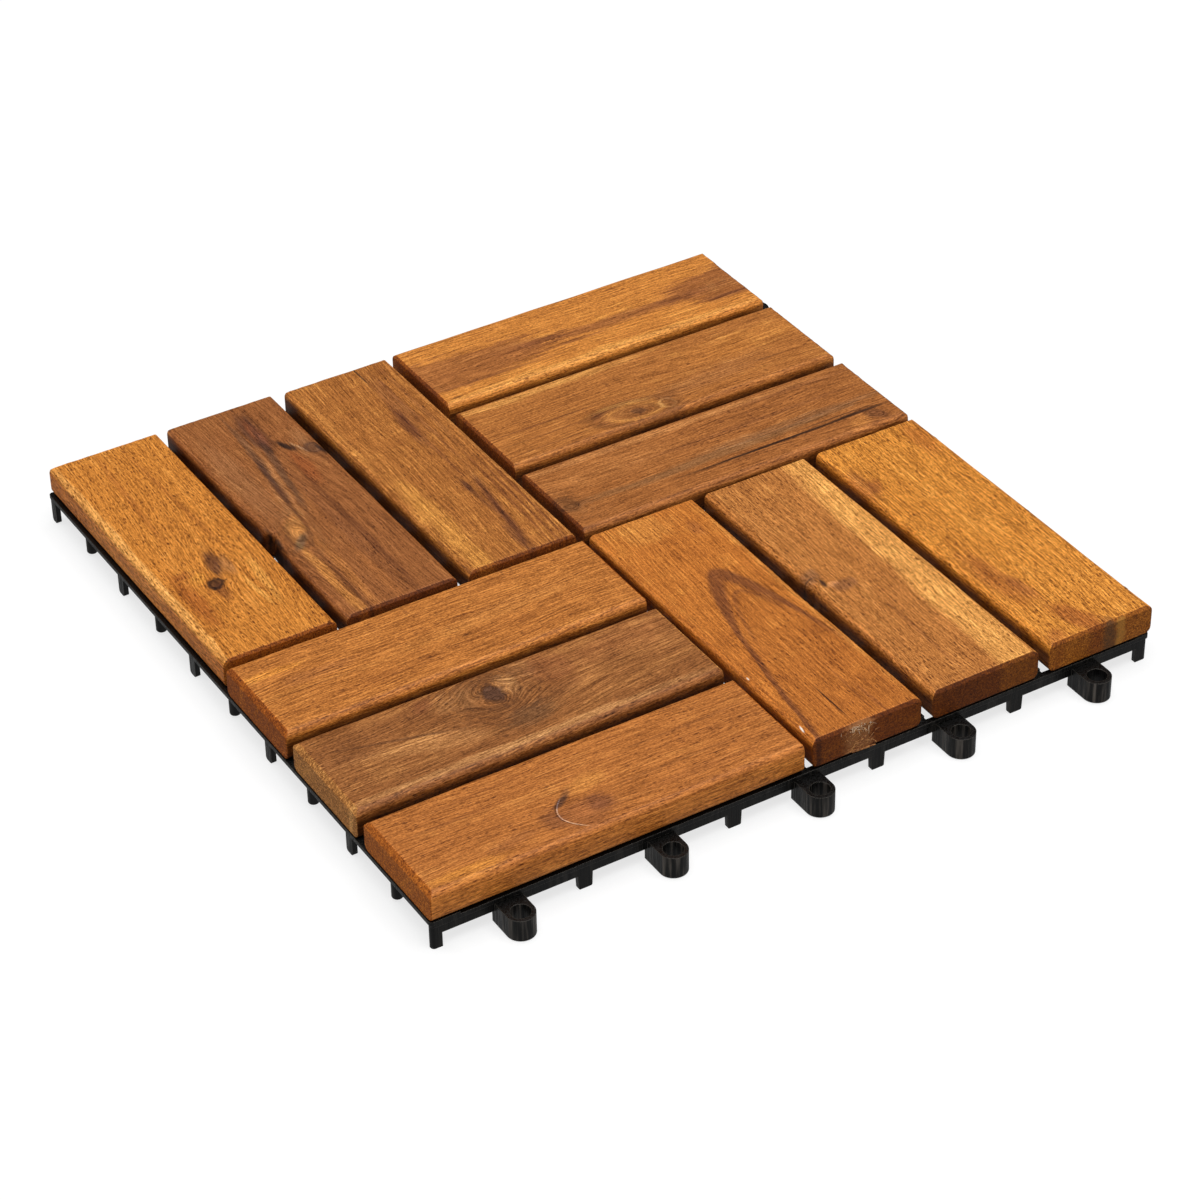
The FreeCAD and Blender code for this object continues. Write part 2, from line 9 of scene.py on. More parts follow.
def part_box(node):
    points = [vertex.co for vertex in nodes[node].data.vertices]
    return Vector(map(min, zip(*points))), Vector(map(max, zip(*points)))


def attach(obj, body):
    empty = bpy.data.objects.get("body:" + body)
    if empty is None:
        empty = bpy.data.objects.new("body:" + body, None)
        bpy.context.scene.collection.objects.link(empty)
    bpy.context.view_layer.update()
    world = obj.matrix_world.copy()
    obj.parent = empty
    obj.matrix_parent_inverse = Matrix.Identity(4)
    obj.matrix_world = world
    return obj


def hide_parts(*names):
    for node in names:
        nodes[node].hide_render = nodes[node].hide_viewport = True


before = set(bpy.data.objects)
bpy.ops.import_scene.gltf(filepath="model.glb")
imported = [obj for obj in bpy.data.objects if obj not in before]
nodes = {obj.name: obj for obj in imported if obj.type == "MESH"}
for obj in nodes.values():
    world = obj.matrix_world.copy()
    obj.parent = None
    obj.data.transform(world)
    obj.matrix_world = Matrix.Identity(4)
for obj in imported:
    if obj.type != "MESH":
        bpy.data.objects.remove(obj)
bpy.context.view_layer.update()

# The studio: a plain pale floor under one wide soft light from above, a narrower one from
# behind on the left that puts a thin gleam along the slats' edges, a weak fill in front and a
# low strip on the left whose reflection runs down the black plastic.
MM = 0.001
scene = bpy.context.scene
scene.view_settings.view_transform = "Standard"
scene.view_settings.look = "None"


def add_object(name, data):
    """A new object in the scene."""
    thing = bpy.data.objects.new(name, data)
    scene.collection.objects.link(thing)
    return thing


def put_node(tree, kind, feeds, **settings):
    """A shader node: feeds maps its sockets to values or to other nodes' outputs."""
    node = tree.nodes.new(kind)
    for key, value in settings.items():
        setattr(node, key, value)
    for socket, value in feeds.items():
        if isinstance(value, bpy.types.NodeSocket):
            tree.links.new(value, node.inputs[socket])
        else:
            node.inputs[socket].default_value = value
    return node


def new_finish(name):
    """An empty material with its output node, ready for a shader."""
    material = bpy.data.materials.new(name)
    material.use_nodes = True
    tree = material.node_tree
    tree.nodes.clear()
    return material, tree, tree.nodes.new("ShaderNodeOutputMaterial").inputs["Surface"]


def cover(tree, surface, feeds):
    """Puts a principled shader on the material's surface."""
    shader = put_node(tree, "ShaderNodeBsdfPrincipled", feeds)
    tree.links.new(shader.outputs[0], surface)


def paint(red, green, blue):
    """A colour given as 0 to 255 a channel, in the linear values that shaders take."""
    return (*(((c / 255 + 0.055) / 1.055) ** 2.4 for c in (red, green, blue)), 1.0)


FLOOR_HALF = 4.0
FLOOR_DROP = 0.05 * MM
FLOOR_GLOW_SEEN = 0.76
FLOOR_GLOW_THROWN = 0.36
AIR_GLOW = 0.10
floor_mesh = bpy.data.meshes.new("floor")
floor_corners = [(-1, -1), (1, -1), (1, 1), (-1, 1)]
floor_mesh.from_pydata([(x * FLOOR_HALF, y * FLOOR_HALF, -FLOOR_DROP) for x, y in floor_corners],
                       [], [(0, 1, 2, 3)])
floor = add_object("floor", floor_mesh)
floor_paint, tree, surface = new_finish("floor_paint")
place = put_node(tree, "ShaderNodeTexCoord", {}).outputs["Object"]
mottle = put_node(tree, "ShaderNodeTexNoise", {"Vector": place, "Scale": 3.0, "Detail": 3.0})
shade = put_node(tree, "ShaderNodeMix",
                 {0: mottle.outputs[0], 6: paint(250, 250, 250), 7: paint(254, 254, 254)},
                 data_type="RGBA").outputs[2]
seen = put_node(tree, "ShaderNodeBsdfPrincipled",
                {"Base Color": paint(142, 142, 142), "Roughness": 0.9, "Emission Color": shade,
                 "Emission Strength": FLOOR_GLOW_SEEN})
# What the floor throws back at the tile is weaker and even, and from below the floor is clear.
thrown = put_node(tree, "ShaderNodeBsdfPrincipled",
                  {"Base Color": (0.0, 0.0, 0.0, 1.0), "Specular IOR Level": 0.0,
                   "Emission Color": shade, "Emission Strength": FLOOR_GLOW_THROWN})
clear = put_node(tree, "ShaderNodeBsdfTransparent", {})
straight = put_node(tree, "ShaderNodeLightPath", {}).outputs["Is Camera Ray"]
under = put_node(tree, "ShaderNodeNewGeometry", {}).outputs["Backfacing"]
upper = put_node(tree, "ShaderNodeMixShader", {0: straight, 1: thrown.outputs[0], 2: seen.outputs[0]})
both = put_node(tree, "ShaderNodeMixShader", {0: under, 1: upper.outputs[0], 2: clear.outputs[0]})
tree.links.new(both.outputs[0], surface)
floor_mesh.materials.append(floor_paint)

world = bpy.data.worlds.new("studio")
scene.world = world
world.use_nodes = True
air = world.node_tree.nodes["Background"].inputs
air["Color"].default_value = (1.0, 1.0, 1.0, 1.0)
air["Strength"].default_value = AIR_GLOW

# name, place in metres, width and height of the panel, watts
LIGHTS = [
    ("overhead", (0.0, -0.3, 3.0), (3.0, 3.0), 106.0),
    ("back_left", (-1.5, 1.5, 1.1), (0.7, 0.35), 4.5),
    ("front", (0.9, -2.2, 1.2), (1.2, 0.8), 8.0),
    ("left_strip", (-2.2, -0.7, 0.45), (0.3, 0.9), 4.0),
]
for name, spot, size, watts in LIGHTS:
    lamp = bpy.data.lights.new(name, "AREA")
    lamp.shape = "RECTANGLE"
    lamp.size, lamp.size_y = size
    lamp.energy = watts
    panel = add_object(name, lamp)
    panel.location = spot
    panel.rotation_mode = "QUATERNION"
    panel.rotation_quaternion = (-Vector(spot)).to_track_quat("-Z", "Y")

# The camera's place, solved from the tile's corners in the photograph.
AZIMUTH, ELEVATION, ROLL = (math.radians(a) for a in (-30.907, 35.866, -1.105))
AIM = Vector((-7.891, -24.759, 12.0)) * MM
DISTANCE = 1356.73 * MM
LENS, SENSOR_WIDTH = 110.5, 36.0
NEAREST, FARTHEST = 0.05, 50.0
back = Vector((math.sin(AZIMUTH) * math.cos(ELEVATION),
               -math.cos(AZIMUTH) * math.cos(ELEVATION), math.sin(ELEVATION)))
level = Vector((0, 0, 1)).cross(back).normalized()
upright = back.cross(level)
right = level * math.cos(ROLL) + upright * math.sin(ROLL)
up = upright * math.cos(ROLL) - level * math.sin(ROLL)
lens = bpy.data.cameras.new("camera")
lens.lens, lens.sensor_width = LENS, SENSOR_WIDTH
lens.clip_start, lens.clip_end = NEAREST, FARTHEST
camera = add_object("camera", lens)
turned = Matrix((right, up, back)).transposed().to_4x4()
camera.matrix_world = Matrix.Translation(AIM + back * DISTANCE) @ turned
scene.camera = camera

# The base: one moulding of black polypropylene, a lattice with its rim, flanges, feet, screw
# towers, loops and pegs. The mould leaves a fine satin skin, paler where its edges rub.


def reckon(tree, operation, *values):
    """A sum on single numbers, as a node's output."""
    return put_node(tree, "ShaderNodeMath", dict(enumerate(values)), operation=operation).outputs[0]


def split(tree, vector):
    """A vector's three numbers, as outputs."""
    return put_node(tree, "ShaderNodeSeparateXYZ", {0: vector}).outputs


def size_of(tree, value):
    """A number without its sign, as an output."""
    return reckon(tree, "ABSOLUTE", value)


def add_up(tree, first, *others):
    """All the numbers added, as an output."""
    for other in others:
        first = reckon(tree, "ADD", first, other)
    return first


def times(tree, first, *others):
    """All the numbers multiplied, as an output."""
    for other in others:
        first = reckon(tree, "MULTIPLY", first, other)
    return first


def reckon_vector(tree, operation, *values):
    """A sum on vectors. A dot product or a length comes out as a number."""
    node = put_node(tree, "ShaderNodeVectorMath", dict(enumerate(values)), operation=operation)
    return node.outputs[1 if operation in ("DOT_PRODUCT", "LENGTH", "DISTANCE") else 0]


def mix_paint(tree, share, first, second, way="MIX"):
    """The first colour with a share of the second mixed in, or multiplied in."""
    feeds = {0: share, 6: first, 7: second}
    return put_node(tree, "ShaderNodeMix", feeds, data_type="RGBA", blend_type=way).outputs[2]


def fade(tree, value, start, finish):
    """0 at start and 1 at finish, easing in and out."""
    feeds = {0: value, 1: start, 2: finish, 3: 0.0, 4: 1.0}
    return put_node(tree, "ShaderNodeMapRange", feeds, interpolation_type="SMOOTHSTEP").outputs[0]


def cloud(tree, point, stretch, detail=2.0, roughness=0.5):
    """Noise from 0 to 1 with its own frequency along each axis."""
    scaled = reckon_vector(tree, "MULTIPLY", point, stretch)
    feeds = {"Vector": scaled, "Scale": 1.0, "Detail": detail, "Roughness": roughness}
    return put_node(tree, "ShaderNodeTexNoise", feeds).outputs[0]


def ripple(tree, point, stretch, detail=2.0, roughness=0.5):
    """The same noise, centred on zero."""
    return reckon(tree, "SUBTRACT", cloud(tree, point, stretch, detail, roughness), 0.5)


def in_millimetres(tree):
    """The point on the surface, in millimetres in the tile's frame."""
    place = put_node(tree, "ShaderNodeTexCoord", {}).outputs["Object"]
    return reckon_vector(tree, "MULTIPLY", place, (1000.0, 1000.0, 1000.0))


CORNER_WEAR = 0.35 * MM
SKIN_RELIEF = 0.06 * MM
RIM_CLEAR, LOOPS_BEGIN = 151.5, 154.0
base_plastic, tree, surface = new_finish("base_plastic")
place = in_millimetres(tree)
soft_corner = put_node(tree, "ShaderNodeBevel", {"Radius": CORNER_WEAR}, samples=6).outputs[0]
facing = put_node(tree, "ShaderNodeNewGeometry", {}).outputs["Normal"]
rubbed = fade(tree, reckon_vector(tree, "DOT_PRODUCT", soft_corner, facing), 0.985, 0.86)
flow = cloud(tree, place, (0.03, 0.03, 0.2), 4.0)
drawn = cloud(tree, place, (1.9, 1.9, 0.07), 3.0, 0.65)
pits = cloud(tree, place, (2.2, 2.2, 2.2), 3.0, 0.6)
scuffs = fade(tree, cloud(tree, place, (0.25, 0.25, 1.2), 5.0, 0.7), 0.52, 0.78)
# Grey streaks painted up the walls stand in for glints of light on them: painted highlights,
# plain on the loops that stick out beyond the rim and faint elsewhere.
on_walls = fade(tree, size_of(tree, split(tree, facing)[2]), 0.5, 0.2)
painted_sheen_streaks = fade(tree, cloud(tree, place, (0.5, 0.5, 0.03), 3.0, 0.6), 0.46, 0.72)
parts = split(tree, place)
from_middle = reckon(tree, "MAXIMUM", size_of(tree, parts[0]), size_of(tree, parts[1]))
plain = add_up(tree, 0.12, times(tree, fade(tree, from_middle, RIM_CLEAR, LOOPS_BEGIN), 0.78))
skin = mix_paint(tree, flow, paint(4, 4, 4), paint(12, 11, 10))
skin = mix_paint(tree, times(tree, scuffs, 0.4), skin, paint(40, 37, 34))
skin = mix_paint(tree, times(tree, painted_sheen_streaks, on_walls, plain), skin, paint(104, 97, 90))
skin = mix_paint(tree, times(tree, rubbed, 0.6), skin, paint(96, 90, 82))
sheen = add_up(tree, 0.10, times(tree, pits, 0.16), times(tree, fade(tree, drawn, 0.38, 0.60), 0.36))
relief = add_up(tree, times(tree, pits, 0.6), times(tree, flow, 0.8), times(tree, drawn, 2.2))
bump = put_node(tree, "ShaderNodeBump", {"Height": relief, "Distance": SKIN_RELIEF, "Strength": 0.8,
                                         "Normal": soft_corner}).outputs[0]
cover(tree, surface, {"Base Color": skin, "Roughness": sheen, "Normal": bump, "IOR": 1.49,
                      "Specular IOR Level": 0.3})
nodes["base_grid"].data.materials.clear()
nodes["base_grid"].data.materials.append(base_plastic)

# The screws: self-tapping, zinc-plated steel, with pan heads and cross recesses. Each is driven
# up from below, seats in its tower and holds its slat by a coarse rolled thread.
HEAD_RADIUS = 3.5 * MM
HEAD_EDGE = 0.8 * MM
HEAD_HEIGHT = 2.2 * MM
SHANK_RADIUS = 1.75 * MM
CORE_RADIUS = 1.15 * MM
TIP_SHARE = 0.08
THREAD_PITCH = 1.7 * MM
THREAD_FOOT = 0.24
THREAD_BEGIN, THREAD_END = 0.05, 0.12
ROOT_SHARE = 0.85
SCREW_POINT = 3.0 * MM
NECK = 1.2 * MM
DRIVE_WIDTH = 0.9 * MM
DRIVE_SPAN = 4.0 * MM
DRIVE_DEPTH = 1.1 * MM
DRIVE_DRAFT = 0.78
HEAD_SIDES = 28
EDGE_STEPS = 4
CORE_SIDES = 14
THREAD_STEPS = 16
SHARP_ANGLE = math.radians(38)
ZINC_RELIEF = 0.03 * MM
RIB_PITCH = 25.4 * MM
SCREW_LINES = [RIB_PITCH * rib for rib in (1, 3, 5)]


def ring_of(work, radius, height, count):
    """Points on a level circle round the screw's axis."""
    turns = [2 * math.pi * step / count for step in range(count)]
    return [work.verts.new((radius * math.cos(turn), radius * math.sin(turn), height)) for turn in turns]


def join_rings(work, first, second):
    """A band of faces between two closed rings of as many points."""
    count = len(first)
    for step in range(count):
        after = (step + 1) % count
        work.faces.new((first[step], first[after], second[after], second[step]))


def add_head(work, low, seat):
    """A pan head whose flat carries a tapered cross recess."""
    flat_radius = HEAD_RADIUS - HEAD_EDGE
    rings = [ring_of(work, CORE_RADIUS, seat, HEAD_SIDES), ring_of(work, HEAD_RADIUS, seat, HEAD_SIDES)]
    for step in range(EDGE_STEPS + 1):
        turn = math.pi / 2 * step / EDGE_STEPS
        rings.append(ring_of(work, flat_radius + HEAD_EDGE * math.cos(turn),
                             low + HEAD_EDGE * (1 - math.sin(turn)), HEAD_SIDES))
    for first, second in zip(rings, rings[1:]):
        join_rings(work, second, first)
    work.faces.new(rings[0])
    near, far = DRIVE_WIDTH / 2, DRIVE_SPAN / 2
    arms = [(far, near), (near, near), (near, far)]
    cross = []
    for _ in range(4):
        cross += arms
        arms = [(-y, x) for x, y in arms]
    mouth = [work.verts.new((x, y, low)) for x, y in cross]
    bottom = [work.verts.new((x * DRIVE_DRAFT, y * DRIVE_DRAFT, low + DRIVE_DEPTH)) for x, y in cross]
    join_rings(work, bottom, mouth)
    work.faces.new(bottom[::-1])
    rim = rings[-1]
    edges = [work.edges.get((a, b)) for loop in (rim, mouth) for a, b in zip(loop, loop[1:] + loop[:1])]
    bmesh.ops.triangle_fill(work, use_beauty=True, edges=edges)


def add_shank(work, seat, tip):
    """The core, with the thread as a ridge that runs out at both of its ends."""
    point = tip - SCREW_POINT
    heights = [(seat, CORE_RADIUS), (seat + NECK, CORE_RADIUS), (point, CORE_RADIUS),
               (tip, CORE_RADIUS * TIP_SHARE)]
    rings = [ring_of(work, radius, height, CORE_SIDES) for height, radius in heights]
    for first, second in zip(rings, rings[1:]):
        join_rings(work, first, second)
    work.faces.new(rings[0][::-1])
    work.faces.new(rings[-1])
    start = seat + NECK
    steps = int((tip - start) / THREAD_PITCH * THREAD_STEPS)
    before = None
    for step in range(steps + 1):
        turn = 2 * math.pi * step / THREAD_STEPS
        height = start + THREAD_PITCH * step / THREAD_STEPS
        swell = min(1.0, step / THREAD_STEPS + THREAD_BEGIN)
        taper = min(1.0, max(THREAD_END, (tip - height) / SCREW_POINT))
        root = CORE_RADIUS * ROOT_SHARE * taper
        crest = root + (SHANK_RADIUS - root) * swell * taper
        half = THREAD_PITCH * THREAD_FOOT * swell
        corners = [work.verts.new((radius * math.cos(turn), radius * math.sin(turn), height + lift))
                   for radius, lift in ((root, -half), (crest, 0.0), (root, half))]
        if before:
            for side in range(3):
                after = (side + 1) % 3
                work.faces.new((before[side], corners[side], corners[after], before[after]))
        else:
            work.faces.new(corners)
        before = corners
    work.faces.new(before[::-1])


screw_low, screw_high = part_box("screws")
pattern = bmesh.new()
add_head(pattern, screw_low.z, screw_low.z + HEAD_HEIGHT)
add_shank(pattern, screw_low.z + HEAD_HEIGHT, screw_high.z)
bmesh.ops.recalc_face_normals(pattern, faces=pattern.faces)
one_screw = bpy.data.meshes.new("one_screw")
pattern.to_mesh(one_screw)
pattern.free()
draw = random.Random(41)
whole = bmesh.new()
for quarter in range(4):
    around = Matrix.Rotation(math.pi / 2 * quarter, 4, "Z")
    for line in (SCREW_LINES[0], SCREW_LINES[-1]):
        for place_along in SCREW_LINES:
            spin = Matrix.Rotation(draw.uniform(0, math.pi), 4, "Z")
            start = len(whole.verts)
            whole.from_mesh(one_screw)
            whole.verts.ensure_lookup_table()
            move = around @ Matrix.Translation((line, place_along, 0)) @ spin
            bmesh.ops.transform(whole, matrix=move, verts=whole.verts[start:])
screws_mesh = bpy.data.meshes.new("driven_screws")
whole.to_mesh(screws_mesh)
whole.free()
bpy.data.meshes.remove(one_screw)
screws_mesh.shade_smooth()
screws_mesh.set_sharp_from_angle(angle=SHARP_ANGLE)
screws = add_object("driven_screws", screws_mesh)
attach(screws, "root")
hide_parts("screws")

zinc, tree, surface = new_finish("zinc")
place = in_millimetres(tree)
spangle = cloud(tree, place, (1.4, 1.4, 1.4), 4.0, 0.6)
rolled = cloud(tree, place, (0.8, 0.8, 9.0), 3.0, 0.6)
coat = mix_paint(tree, spangle, paint(140, 143, 148), paint(198, 199, 200))
gloss = add_up(tree, 0.22, times(tree, spangle, 0.2), times(tree, rolled, 0.1))
bump = put_node(tree, "ShaderNodeBump", {"Height": rolled, "Distance": ZINC_RELIEF, "Strength": 0.5})
cover(tree, surface, {"Base Color": coat, "Metallic": 1.0, "Roughness": gloss, "Normal": bump.outputs[0]})
screws_mesh.materials.append(zinc)

# The slats: oiled acacia, planed with rounded long edges, their ends sawn and eased by a bevel.
# Each is cut from its own place in the log, so each has its own rings, streaks, knots and colour.
# Lengths here are in millimetres, because the shader's patterns are laid out in them too.
ROUND = 2.8
ROUND_LOW = 2.6
END_ROUND = 0.5
END_CHAMFER = 0.4
PLANING = 0.05
EDGE_WANDER = 0.35
BEVEL_WANDER = 0.22
BEVEL_BLEND = 0.06
DENT_WIDTH = 7.0
DENT_SINK = 0.45
ARC_STEPS = 6
STATION_PITCH = 1.25
END_STATIONS = (0.0, 0.07, 0.2, 0.35, 0.5, 0.7, 0.9, 1.1, 1.3, 1.5, 1.75, 2.0, 2.25, 2.5, 2.9, 3.4)


def slat_section(width, height, top_round):
    """Points round a slat's section with their outward directions, from the lower right edge."""
    corners = [
        (width / 2 - ROUND_LOW, ROUND_LOW, -90, ROUND_LOW, 2),
        (width / 2 - top_round, height - top_round, 0, top_round, 18),
        (top_round - width / 2, height - top_round, 90, top_round, 2),
        (ROUND_LOW - width / 2, ROUND_LOW, 180, ROUND_LOW, 6),
    ]
    arcs = []
    for across, up_from, first, radius, _ in corners:
        turns = [math.radians(first + 90 * step / ARC_STEPS) for step in range(ARC_STEPS + 1)]
        arcs.append([(across + radius * math.cos(turn), up_from + radius * math.sin(turn),
                      math.cos(turn), math.sin(turn)) for turn in turns])
    points = []
    for number, arc in enumerate(arcs):
        points += arc
        begin, end = arc[-1], arcs[(number + 1) % 4][0]
        flats = corners[number][4]
        for step in range(1, flats):
            share = step / flats
            points.append(tuple(a + (b - a) * share for a, b in zip(begin, end)))
    return points


def shape_slat(name, runs, near_bevel, far_bevel, dents):
    """A slat's mesh on its solid's box, with its bevels and its dents, as finish_slat gives them."""
    low, high = (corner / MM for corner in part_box(f"slat_{name}"))
    if runs == "Y":
        low, high = low.yxz, high.yxz
    width, height = high.y - low.y, high.z - low.z
    middle_line = (low.y + high.y) / 2
    seed = abs(low.x + 3 * low.y) * 0.37
    far_at_low = abs(low.x) > abs(high.x)
    length = high.x - low.x
    pitches = int((length - 2 * END_STATIONS[-1]) / STATION_PITCH)
    inner = [END_STATIONS[-1] + (length - 2 * END_STATIONS[-1]) * step / pitches
             for step in range(1, pitches)]
    stations = [*END_STATIONS, *inner, *(length - station for station in reversed(END_STATIONS))]
    verts = []
    for station in stations:
        along = low.x + station
        to_end = min(station, length - station)
        at_low = station < length / 2
        bevel = far_bevel if at_low == far_at_low else near_bevel
        inset = END_ROUND - math.sqrt(max(0.0, END_ROUND ** 2 - max(0.0, END_ROUND - to_end) ** 2))
        top_round = ROUND + EDGE_WANDER * noise.noise(Vector((along * 0.05, seed, 0)))
        for across, rise, out_across, out_up in slat_section(width, height, top_round):
            spot = Vector((along * 0.03, (middle_line + across) * 0.12, rise * 0.1 + seed))
            lift = PLANING * noise.noise(spot) - PLANING * 0.6 - inset
            ragged_cut = Vector(((middle_line + across) * 0.35, seed, station > to_end))
            wobble = BEVEL_WANDER * noise.noise(ragged_cut)
            spare = bevel + wobble - to_end
            drop = (spare + math.sqrt(spare * spare + BEVEL_BLEND)) / 2
            across += out_across * lift
            rise += out_up * lift
            for at, side, depth, half, ragged in dents:
                from_inside = (across * side - (width / 2 - DENT_WIDTH)) / DENT_WIDTH
                near_side = max(0.0, min(1.0, from_inside))
                share = (along - at) / half
                reach = math.exp(-share * share) * near_side ** 1.5
                rough = 1.0 + ragged * noise.noise(Vector((along * 0.9, rise * 0.5, seed)))
                across -= side * depth * reach * rough
                if rise > height / 2:
                    rise -= DENT_SINK * depth * reach * near_side * rough
            verts.append((along, middle_line + across, low.z + min(rise, height - drop)))
    count = len(verts) // len(stations)
    faces = []
    for number in range(len(stations) - 1):
        for step in range(count):
            after = (step + 1) % count
            first, second = number * count, (number + 1) * count
            faces.append((first + step, second + step, second + after, first + after))
    for first, backwards in ((0, False), (len(verts) - count, True)):
        middle = sum((Vector(v) for v in verts[first:first + count]), Vector()) / count
        start = len(verts)
        for step in range(count):
            edge = Vector(verts[first + step])
            verts.append(tuple(edge + (middle - edge).normalized() * END_CHAMFER))
            after = (step + 1) % count
            face = (first + step, first + after, start + after, start + step)
            faces.append(face[::-1] if backwards else face)
        cap = tuple(range(start, start + count))
        faces.append(cap[::-1] if backwards else cap)
    if runs == "Y":
        verts = [(y, x, z) for x, y, z in verts]
        faces = [face[::-1] for face in faces]
    mesh = bpy.data.meshes.new(f"board_{name}")
    mesh.from_pydata([(x * MM, y * MM, z * MM) for x, y, z in verts], [], faces)
    mesh.shade_smooth()
    board = add_object(f"board_{name}", mesh)
    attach(board, "root")
    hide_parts(f"slat_{name}")
    return board


NUMBER, VECTOR, COLOUR = "NodeSocketFloat", "NodeSocketVector", "NodeSocketColor"


def new_group(name, takes, gives):
    """A shader node group: takes lists its inputs with their defaults, gives its outputs."""
    group = bpy.data.node_groups.new(name, "ShaderNodeTree")
    for title, kind, value in takes:
        socket = group.interface.new_socket(title, in_out="INPUT", socket_type=kind)
        if value is not None:
            socket.default_value = value
    for title, kind in gives:
        group.interface.new_socket(title, in_out="OUTPUT", socket_type=kind)
    return group, group.nodes.new("NodeGroupInput").outputs, group.nodes.new("NodeGroupOutput").inputs


def use_group(tree, group, *values):
    """A node group's outputs. The values go to its inputs in the order in which it takes them."""
    return put_node(tree, "ShaderNodeGroup", dict(enumerate(values)), node_tree=group).outputs


def stain(tree, share, colour, tint):
    """The colour under a stain that multiplies it by the tint, where share lets it in."""
    return mix_paint(tree, share, colour, mix_paint(tree, 1.0, colour, (*tint, 1.0), "MULTIPLY"))


FULL_TURN = 6.28


def make_knot_group():
    """A knot: it pushes the grain aside, and has a core, a rim and rings round it."""
    group, given, result = new_group(
        "knot",
        [("Place", VECTOR, None), ("Along", NUMBER, 0.0), ("Across", NUMBER, 0.0),
         ("Half Length", NUMBER, 4.0), ("Half Width", NUMBER, 3.0), ("Lean", NUMBER, 0.0),
         ("Turns", NUMBER, 1.0)],
        [("Push", NUMBER), ("Core", NUMBER), ("Rim", NUMBER), ("Rings", NUMBER)])
    parts = split(group, given["Place"])
    off_across = reckon(group, "SUBTRACT", parts[1], given["Across"])
    off_along = reckon(group, "SUBTRACT", parts[0], given["Along"])
    off_along = add_up(group, off_along, times(group, off_across, given["Lean"]))
    share_along = reckon(group, "DIVIDE", off_along, given["Half Length"])
    share_across = reckon(group, "DIVIDE", off_across, given["Half Width"])
    square = add_up(group, times(group, share_along, share_along), times(group, share_across, share_across))
    wander = ripple(group, given["Place"], (0.22, 0.3, 0.1), 3.0, 0.6)
    steady = reckon(group, "DIVIDE", 4.5, given["Half Length"])
    reach = times(group, reckon(group, "SQRT", square), add_up(group, 1.0, times(group, wander, steady)))
    push = reckon(group, "DIVIDE", times(group, off_across, -0.8), add_up(group, square, 0.45))
    group.links.new(push, result["Push"])
    group.links.new(fade(group, reach, 1.12, 0.72), result["Core"])
    from_rim = size_of(group, reckon(group, "SUBTRACT", reach, 0.96))
    group.links.new(fade(group, from_rim, 0.36, 0.05), result["Rim"])
    out = add_up(group, reach, times(group, wander, 0.8))
    wave = reckon(group, "SINE", times(group, out, given["Turns"], FULL_TURN))
    lit = add_up(group, times(group, wave, 0.5), 0.5)
    rings = times(group, lit, fade(group, reach, 3.3, 1.3), fade(group, reach, 0.9, 1.15))
    group.links.new(rings, result["Rings"])
    return group


def make_streak_group():
    """A streak or patch of other colour that runs with the grain, ragged at its sides and ends."""
    group, given, result = new_group(
        "streak",
        [("Place", VECTOR, None), ("Along", NUMBER, 0.0), ("Across", NUMBER, 0.0),
         ("Half Length", NUMBER, 40.0), ("Half Width", NUMBER, 3.0), ("Slope", NUMBER, 0.0),
         ("Ragged", NUMBER, 0.5), ("Bend", NUMBER, 0.0)],
        [("Mask", NUMBER)])
    parts = split(group, given["Place"])
    off = reckon(group, "SUBTRACT", parts[0], given["Along"])
    share = reckon(group, "DIVIDE", off, given["Half Length"])
    square = times(group, share, share)
    line = add_up(group, given["Across"], times(group, off, given["Slope"]),
                  times(group, square, given["Bend"]))
    sway = times(group, ripple(group, given["Place"], (0.035, 0.16, 0.16), 3.0, 0.6), given["Ragged"])
    frayed = times(group, ripple(group, given["Place"], (0.11, 1.3, 1.3), 3.0, 0.65), given["Ragged"])
    aside = reckon(group, "SUBTRACT", parts[1], line)
    aside = add_up(group, aside, times(group, sway, add_up(group, given["Half Width"], 1.0), 1.4))
    aside = reckon(group, "DIVIDE", aside, given["Half Width"])
    reach = reckon(group, "SQRT", add_up(group, square, times(group, aside, aside)))
    reach = add_up(group, reach, times(group, frayed, 1.5), times(group, sway, 0.6))
    blur = add_up(group, 0.3, times(group, given["Ragged"], 1.2))
    blur = reckon(group, "MINIMUM", reckon(group, "DIVIDE", blur, given["Half Width"]), 0.2)
    outer_edge = add_up(group, 1.0, blur)
    inner_edge = reckon(group, "SUBTRACT", 1.0, times(group, blur, 3.0))
    group.links.new(fade(group, reach, outer_edge, inner_edge), result["Mask"])
    return group


